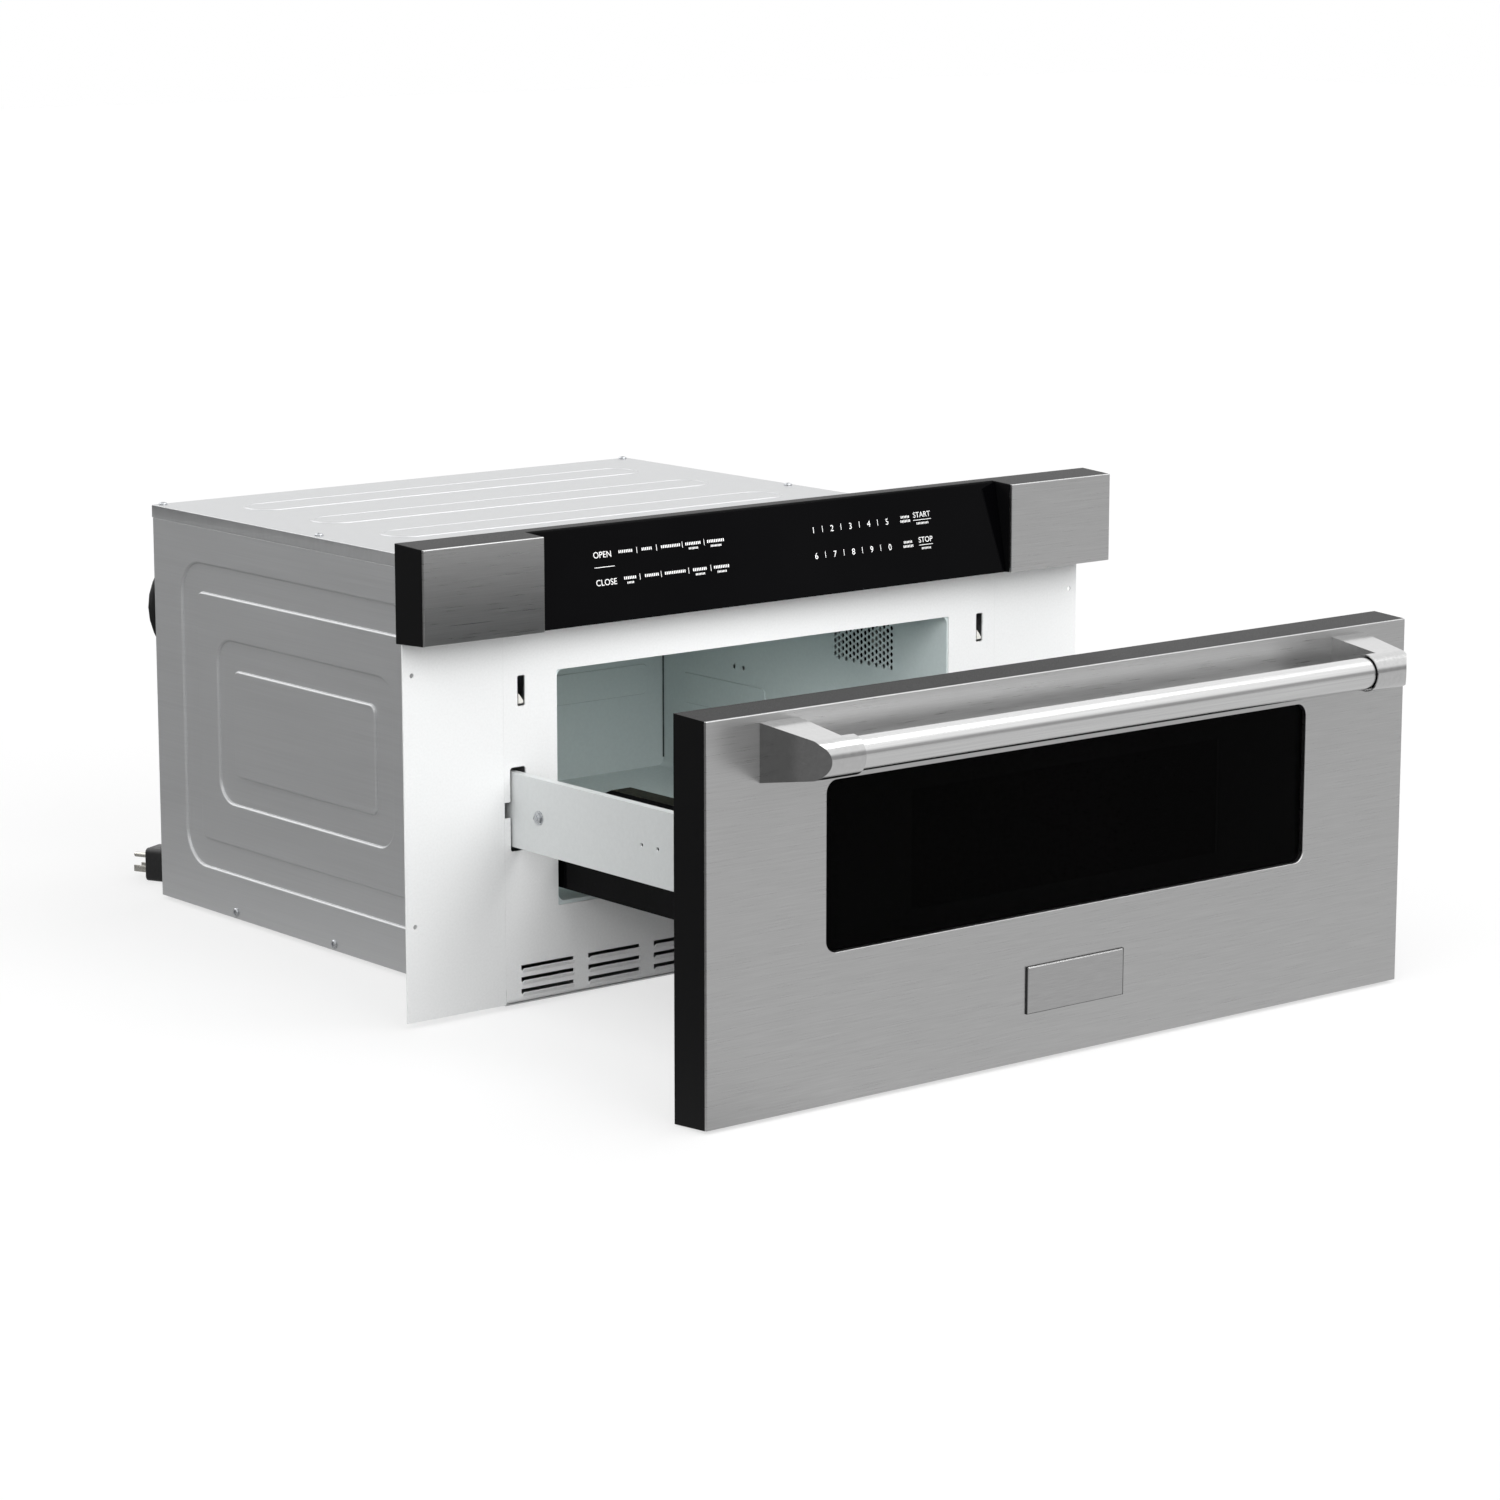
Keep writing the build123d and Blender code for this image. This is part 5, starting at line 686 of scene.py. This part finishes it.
# Washer, hexagon nut and the end of its stud, each turned or pressed with broken edges.
arm_face = 0.266
nut_low, nut_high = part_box("arm_nuts")
nut_middle = (nut_low + nut_high) / 2
hardware = bmesh.new()
for side in (-1, 1):
    form = bmesh.new()
    # Corners, radius, the heights of both ends over the arm, and the width of the broken edge.
    for sides, radius, foot, top, broken in (
        (40, 0.006, 0.0, 0.0008, 0.0002), (6, 0.0049, 0.0008, 0.0029, 0.0005),
        (20, 0.0024, 0.0008, 0.0036, 0.0005),
    ):
        turned = bmesh.ops.create_cone(form, cap_ends=True, segments=sides, radius1=radius,
                                       radius2=radius, depth=top - foot)["verts"]
        bmesh.ops.translate(form, verts=turned, vec=(0, 0, (top + foot) / 2))
        rim = [
            edge for edge in form.edges if all(abs(vert.co.z - top) < 1e-5 for vert in edge.verts)]
        bmesh.ops.bevel(form, geom=rim, offset=broken, offset_type="OFFSET", segments=2,
                        profile=0.5, affect="EDGES", material=-1)
    bmesh.ops.transform(form, verts=form.verts, matrix=Matrix.Translation((
        side * arm_face, nut_middle.y, nut_middle.z)) @ Matrix.Rotation(side * pi / 2, 4, "Y")
        @ Matrix.Rotation(0.2, 4, "Z"))
    loose = bpy.data.meshes.new("nut")
    form.to_mesh(loose)
    form.free()
    hardware.from_mesh(loose)
arm_hardware = make_piece("arm_nuts_and_washers", hardware, plating, "drawer",
                          crease=25)
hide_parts("arm_nuts")


# ================================================================ control panel
# Black moulded housing with stainless caps on its two end blocks and a black touch glass that leans
# back between them. The board with its keys' sensors sits behind the glass.

def brushed_sheet(name, light, dark):
    """Stainless sheet brushed along x with a fine belt: level hair lines up to 40 mm long that
    tint the sheet and spread its reflection upwards. The lines are drawn at 0.8 mm, coarser than
    the real 0.1 mm, so that they show."""
    material, shader, place = finish(name, light, 1.0, 0.29)
    tone = vary(material, shader, place, (0.04, 0.02, 0.0008), (dark, light), (0.27, 0.32),
                0.000006, 4.0)
    broad = add_node(material, "TexNoise", {
        "Vector": add_node(
            material, "Mapping", {"Vector": place, "Scale": (6.0, 6.0, 140.0)}).outputs[0],
        "Scale": 1.0, "Detail": 3.0})
    shade = add_node(material, "MapRange", {
        "Value": broad.outputs[0], "From Min": 0.3, "From Max": 0.7, "To Min": 0.985,
        "To Max": 1.0})
    clouded = add_node(material, "Mix", {
        0: 1.0, 6: tone.outputs[2], 7: shade.outputs[0]}, data_type="RGBA", blend_type="MULTIPLY")
    material.node_tree.links.new(clouded.outputs[2], shader.inputs["Base Color"])
    return material


# ABS, injection moulded: near black, fine matt grain of under a millimetre that kills the shine.
abs_black, abs_shader, place = finish(
    "black_abs_moulded_fine_grain", "#070708", 0.0, 0.42, Specular_IOR_Level=0.15)
vary(abs_black, abs_shader, place, (0.0009, 0.0009, 0.0009), ("#060607", "#09090A"), (0.36, 0.5),
     0.00002)
stainless = brushed_sheet("stainless_sheet_brushed_level", "#C9C9C9", "#BFBFBF")
eased("control_housing", 0.0005, abs_black, "cabinet")
eased("control_trims", 0.0003, stainless, "cabinet",
      folds=((0.0007, 3, lambda spot: spot.y < -0.3122),))

# Float glass, printed black on its back: deep even black with a sharp, weak reflection.
touch_glass, touch_shader, place = finish(
    "black_back_printed_float_glass", "#030303", 0.0, 0.07, Specular_IOR_Level=0.12)
vary(touch_glass, touch_shader, place, (0.12, 0.12, 0.12), ("#020203", "#040405"), (0.05, 0.1), 0.0)
dress(touch_glass, "control_glass")

# Fibre-glass board: green solder mask over copper tracks, seen as lighter paths of about 1.5 mm.
board, board_shader, place = finish("green_solder_mask_on_fr4", "#12492B", 0.0, 0.35)
tracks = add_node(board, "TexBrick", {
    "Vector": add_node(board, "Mapping", {"Vector": place, "Rotation": (pi / 2, 0, 0)}).outputs[0],
    "Color1": colour("#12492B"), "Color2": colour("#174F31"), "Mortar": colour("#2C7A4B"),
    "Scale": 70.0,
    "Mortar Size": 0.03})
board.node_tree.links.new(tracks.outputs["Color"], board_shader.inputs["Base Color"])
dress(board, "control_board")


# ================================================================ markings on the touch glass
# Key names and digits, screen-printed in white on the glass: numbers, start, stop, open and close,
# and rows of small plain marks for the other keys. The print is 0.05 mm thick.

ink, ink_shader, place = finish("white_ceramic_ink_screen_printed", "#E9E9E9", 0.0, 0.6)
vary(ink, ink_shader, place, (0.001, 0.001, 0.001), ("#E2E2E2", "#EFEFEF"), (0.5, 0.7), 0.0)
# The glass leans back by 16 mm over its height of 79 mm. Places on it are millimetres from the
# middle and above the case's bottom edge, which stands 4 mm over the floor.
glass_lean = atan2(16.0, 79.0)
case_bottom = 4.0
glass_bottom = 322.3
glass_face = (Matrix.Translation((0, -0.3061, (case_bottom + glass_bottom) / 1000))
              @ Matrix.Rotation(pi / 2 - glass_lean, 4, "X"))
print_form = bmesh.new()


def on_glass(x, height):
    """Matrix that lays a flat figure on the glass at x from the middle and height."""
    up = (height - glass_bottom) / cos(glass_lean)
    return glass_face @ Matrix.Translation((x / 1000, up / 1000, 0.00005))


def print_words(words, x, height, size):
    """Letters with their left end at x and their foot at height, size millimetres tall."""
    line = bpy.data.curves.new("words", "FONT")
    line.body = words
    line.size = size / 1000 / 0.73
    letters = bpy.data.objects.new("words", line)
    bpy.context.collection.objects.link(letters)
    graph = bpy.context.evaluated_depsgraph_get()
    flat = bpy.data.meshes.new_from_object(letters.evaluated_get(graph))
    add_copy(print_form, flat, on_glass(x, height))
    bpy.data.objects.remove(letters)


def print_bar(x, height, width, thick):
    """Plain bar centred on x and height."""
    plate = bmesh.ops.create_grid(print_form, x_segments=1, y_segments=1, size=0.5)["verts"]
    bmesh.ops.scale(print_form, verts=plate, vec=(width / 1000, thick / 1000, 1))
    bmesh.ops.transform(print_form, matrix=on_glass(x, height), verts=plate)


def print_marks(x, height, width, tall, pitch):
    """Row of small upright marks centred on x, that stand for a key's name and spell nothing."""
    marks = round(width / pitch)
    for number in range(marks):
        print_bar(x + (number - (marks - 1) / 2) * pitch, height, 0.55 * pitch, tall)


print_words("OPEN", -196.0, 375.6, 5.4)
print_words("CLOSE", -196.5, 352.8, 5.4)
print_bar(-185.5, 367.8, 21.0, 0.5)
key_rows = (
    (378.2, ((-162.0, 15.0, 0), (-139.5, 11.0, 0), (-114.0, 21.0, 0), (-90.0, 18.0, 1),
             (-65.5, 19.0, 1)),
     (-150.0, -129.0, -101.5, -78.0)),
    (356.2, ((-160.5, 13.0, 1), (-137.5, 15.0, 0), (-112.5, 23.0, 0), (-86.0, 16.0, 1),
             (-62.5, 18.0, 1)),
     (-150.0, -127.5, -98.0, -74.0)),
)
for height, keys, rules in key_rows:
    for x, width, second in keys:
        print_marks(x, height + 0.6, width, 2.4, 1.9)
        if second:
            print_marks(x, height - 3.4, 0.62 * width, 1.7, 1.5)
    for x in rules:
        print_bar(x, height + 0.4, 0.5, 5.2)
for digits, height in (("12345", 375.4), ("67890", 353.4)):
    for column, digit in enumerate(digits):
        x = 42.5 + 21.0 * column
        print_words(digit, x - 1.6, height, 5.6)
        if column < 4:
            print_bar(x + 10.5, height + 2.8, 0.55, 5.4)
for x, height in ((148.0, 380.2), (148.0, 358.4)):
    print_marks(x, height, 9.5, 2.1, 1.7)
    print_marks(x, height - 3.6, 11.5, 2.1, 1.7)
print_words("START", 157.5, 378.6, 5.0)
print_words("STOP", 160.5, 356.8, 5.0)
for x, height, width in ((167.5, 376.4, 20.5), (168.5, 354.6, 16.0)):
    print_bar(x, height, width, 0.5)
    print_marks(x, height - 3.0, 0.68 * width, 1.8, 1.6)
bmesh.ops.recalc_face_normals(print_form, faces=print_form.faces)
make_piece("glass_markings", print_form, ink, "cabinet")


# ================================================================ drawer front
# Black moulded shell with a folded stainless skin, a tinted window printed black round its viewing
# part, an inner steel panel with a punched screen, a choke channel, latch hooks and a bare badge
# plate.

eased("drawer_housing", 0.0005, abs_black, "drawer")


skin_front = -0.6760
window_middle_z = 0.19085
window_half_width, window_half_height = 0.2630, 0.0690


def on_window_fold(spot):
    """Whether a point lies on the skin's front face, at the fold into the window."""
    return (spot.y < skin_front and abs(spot.x) < window_half_width
            and abs(spot.z - window_middle_z) < window_half_height)


eased("drawer_skin", 0.0003, stainless, "drawer",
      folds=((0.0021, 4, on_window_fold), (0.0009, 3, lambda spot: spot.y < skin_front)))

# Stainless plate, pressed and buffed: as grey as the skin, with a rim that mirrors the lamps. It is
# stuck on with a black foam pad whose edge stands out as a dark line at its sides.
buffed, buffed_shader, place = finish("stainless_plate_buffed", "#BABABA", 1.0, 0.16)
vary(buffed, buffed_shader, place, (0.02, 0.02, 0.0008), ("#B5B5B5", "#BFBFBF"), (0.14, 0.2),
     0.000003)
eased("badge_plate", 0.0007, buffed, "drawer", steps=3)
pad_overhang, pad_thickness = 0.0008, 0.0012
plate_low, plate_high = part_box("badge_plate")
form = bmesh.new()
pad = bmesh.ops.create_cube(form, size=1.0)["verts"]
bmesh.ops.scale(form, verts=pad, vec=(
    plate_high.x - plate_low.x + 2 * pad_overhang, pad_thickness, plate_high.z - plate_low.z))
bmesh.ops.translate(form, verts=pad,
                    vec=(0, plate_high.y - 0.0007, (plate_low.z + plate_high.z) / 2))
make_piece("badge_pad", form, vinyl, "drawer")

# Grey-tinted float glass: almost black, mirror smooth, lets the punched screen through faintly.
tinted, tinted_shader, place = finish(
    "grey_tinted_float_glass", "#3A3A3C", 0.0, 0.03, Transmission_Weight=1.0, IOR=1.09)
vary(tinted, tinted_shader, place, (0.15, 0.15, 0.15), ("#38383A", "#3C3C3E"), (0.02, 0.05), 0.0)
dress(tinted, "window_glass")

# Grey ceramic print on the back of the glass, left open over the viewing part: black to the eye
# through the tint, yet a shade lighter than the dark behind the open part.
frit, frit_shader, place = finish("grey_ceramic_print", "#7A7A7C", 0.0, 0.5)
vary(frit, frit_shader, place, (0.001, 0.001, 0.001), ("#747476", "#808082"), (0.45, 0.6), 0.0)
# Outer size on the glass, then the size of the open part; the glass's rear face is at glass_back.
print_sizes = ((0.545, 0.1575), (0.336, 0.0959))
glass_back = -0.66705
form = bmesh.new()
for width, height in print_sizes:
    sheet = bmesh.ops.create_grid(form, x_segments=1, y_segments=1, size=0.5)["verts"]
    bmesh.ops.scale(form, verts=sheet, vec=(width, height, 1))
bmesh.ops.delete(form, geom=list(form.faces), context="FACES_ONLY")
bmesh.ops.bridge_loops(form, edges=list(form.edges))
bmesh.ops.rotate(form, verts=form.verts, matrix=Matrix.Rotation(pi / 2, 3, "X"))
bmesh.ops.translate(form, verts=form.verts, vec=(0, glass_back, window_middle_z))
make_piece("window_print", form, frit, "drawer")

# Steel screen, punched and painted black: 1.6 mm holes in staggered rows, drawn at 3 mm spacing.
screen, screen_shader, place = finish("punched_steel_screen_black", "#161616", 0.3, 0.5)
holes = add_node(screen, "TexVoronoi", {
    "Vector": add_node(
        screen, "Mapping", {"Vector": place, "Scale": (330.0, 0.0, 330.0)}).outputs[0],
    "Scale": 1.0, "Randomness": 0.0})
hole_edge = add_node(screen, "MapRange", {
    "Value": holes.outputs["Distance"], "From Min": 0.26, "From Max": 0.34})
punched = add_node(screen, "Mix", {
    0: hole_edge.outputs[0], 6: colour("#010101"), 7: colour("#1A1A1A")}, data_type="RGBA")
screen.node_tree.links.new(punched.outputs[2], screen_shader.inputs["Base Color"])
hole_bump = add_node(screen, "Bump", {"Height": hole_edge.outputs[0], "Distance": 0.0004})
screen.node_tree.links.new(hole_bump.outputs[0], screen_shader.inputs["Normal"])
dress(screen, "window_screen")
dress(zinc, "drawer_panel")

# Clear glass, toughened and polished: colourless face, faint green in its thickness.
clear_glass, clear_shader, place = finish(
    "clear_toughened_glass", "#EEF5F2", 0.0, 0.02, Transmission_Weight=1.0, IOR=1.5)
vary(clear_glass, clear_shader, place, (0.08, 0.08, 0.08), ("#EAF3EF", "#F3F8F6"), (0.01, 0.04),
     0.0)
dress(clear_glass, "window_inner_glass")
dress(dark_moulding, "choke_frame")
dress(plating, "latch_hooks")


# ================================================================ handle
# Satin stainless tube whose ends sit in sleeves of two cast brackets, screwed through the skin.

# Stainless tube, brushed lengthwise: bright, with long streaks that stretch the lamp's reflection.
tube, tube_shader, place = finish("stainless_tube_satin_brushed", "#DDDDDD", 1.0, 0.18)
vary(tube, tube_shader, place, (0.12, 0.0011, 0.0011), ("#D8D8D8", "#E2E2E2"), (0.15, 0.22),
     0.000003)
dress(tube, "handle_bar")

# Zinc die casting, ground and satin plated: smooth bright metal with soft edges.
cast, cast_shader, place = finish("satin_plated_zinc_die_casting", "#CFCFCF", 1.0, 0.15)
vary(cast, cast_shader, place, (0.004, 0.004, 0.004), ("#CCCCCC", "#D2D2D2"), (0.13, 0.18), 0.0)
for bracket in ("handle_bracket_left", "handle_bracket_right"):
    eased(bracket, 0.0007, cast, "drawer", steps=3)


# ================================================================ drawer basket
# Enamelled steel tub with a tall hollow cheek on each side and a shallow glass tray on its floor.

# Vitreous enamel, fired: deep glossy black with a slight pebble from the firing.
enamel, enamel_shader, place = finish(
    "black_vitreous_enamel_fired", "#040405", 0.0, 0.16, Specular_IOR_Level=0.05)
vary(enamel, enamel_shader, place, (0.005, 0.005, 0.005), ("#030304", "#060607"), (0.1, 0.2),
     0.00004)
eased("basket", 0.0009, enamel, "drawer", steps=3)
dress(clear_glass, "glass_tray")
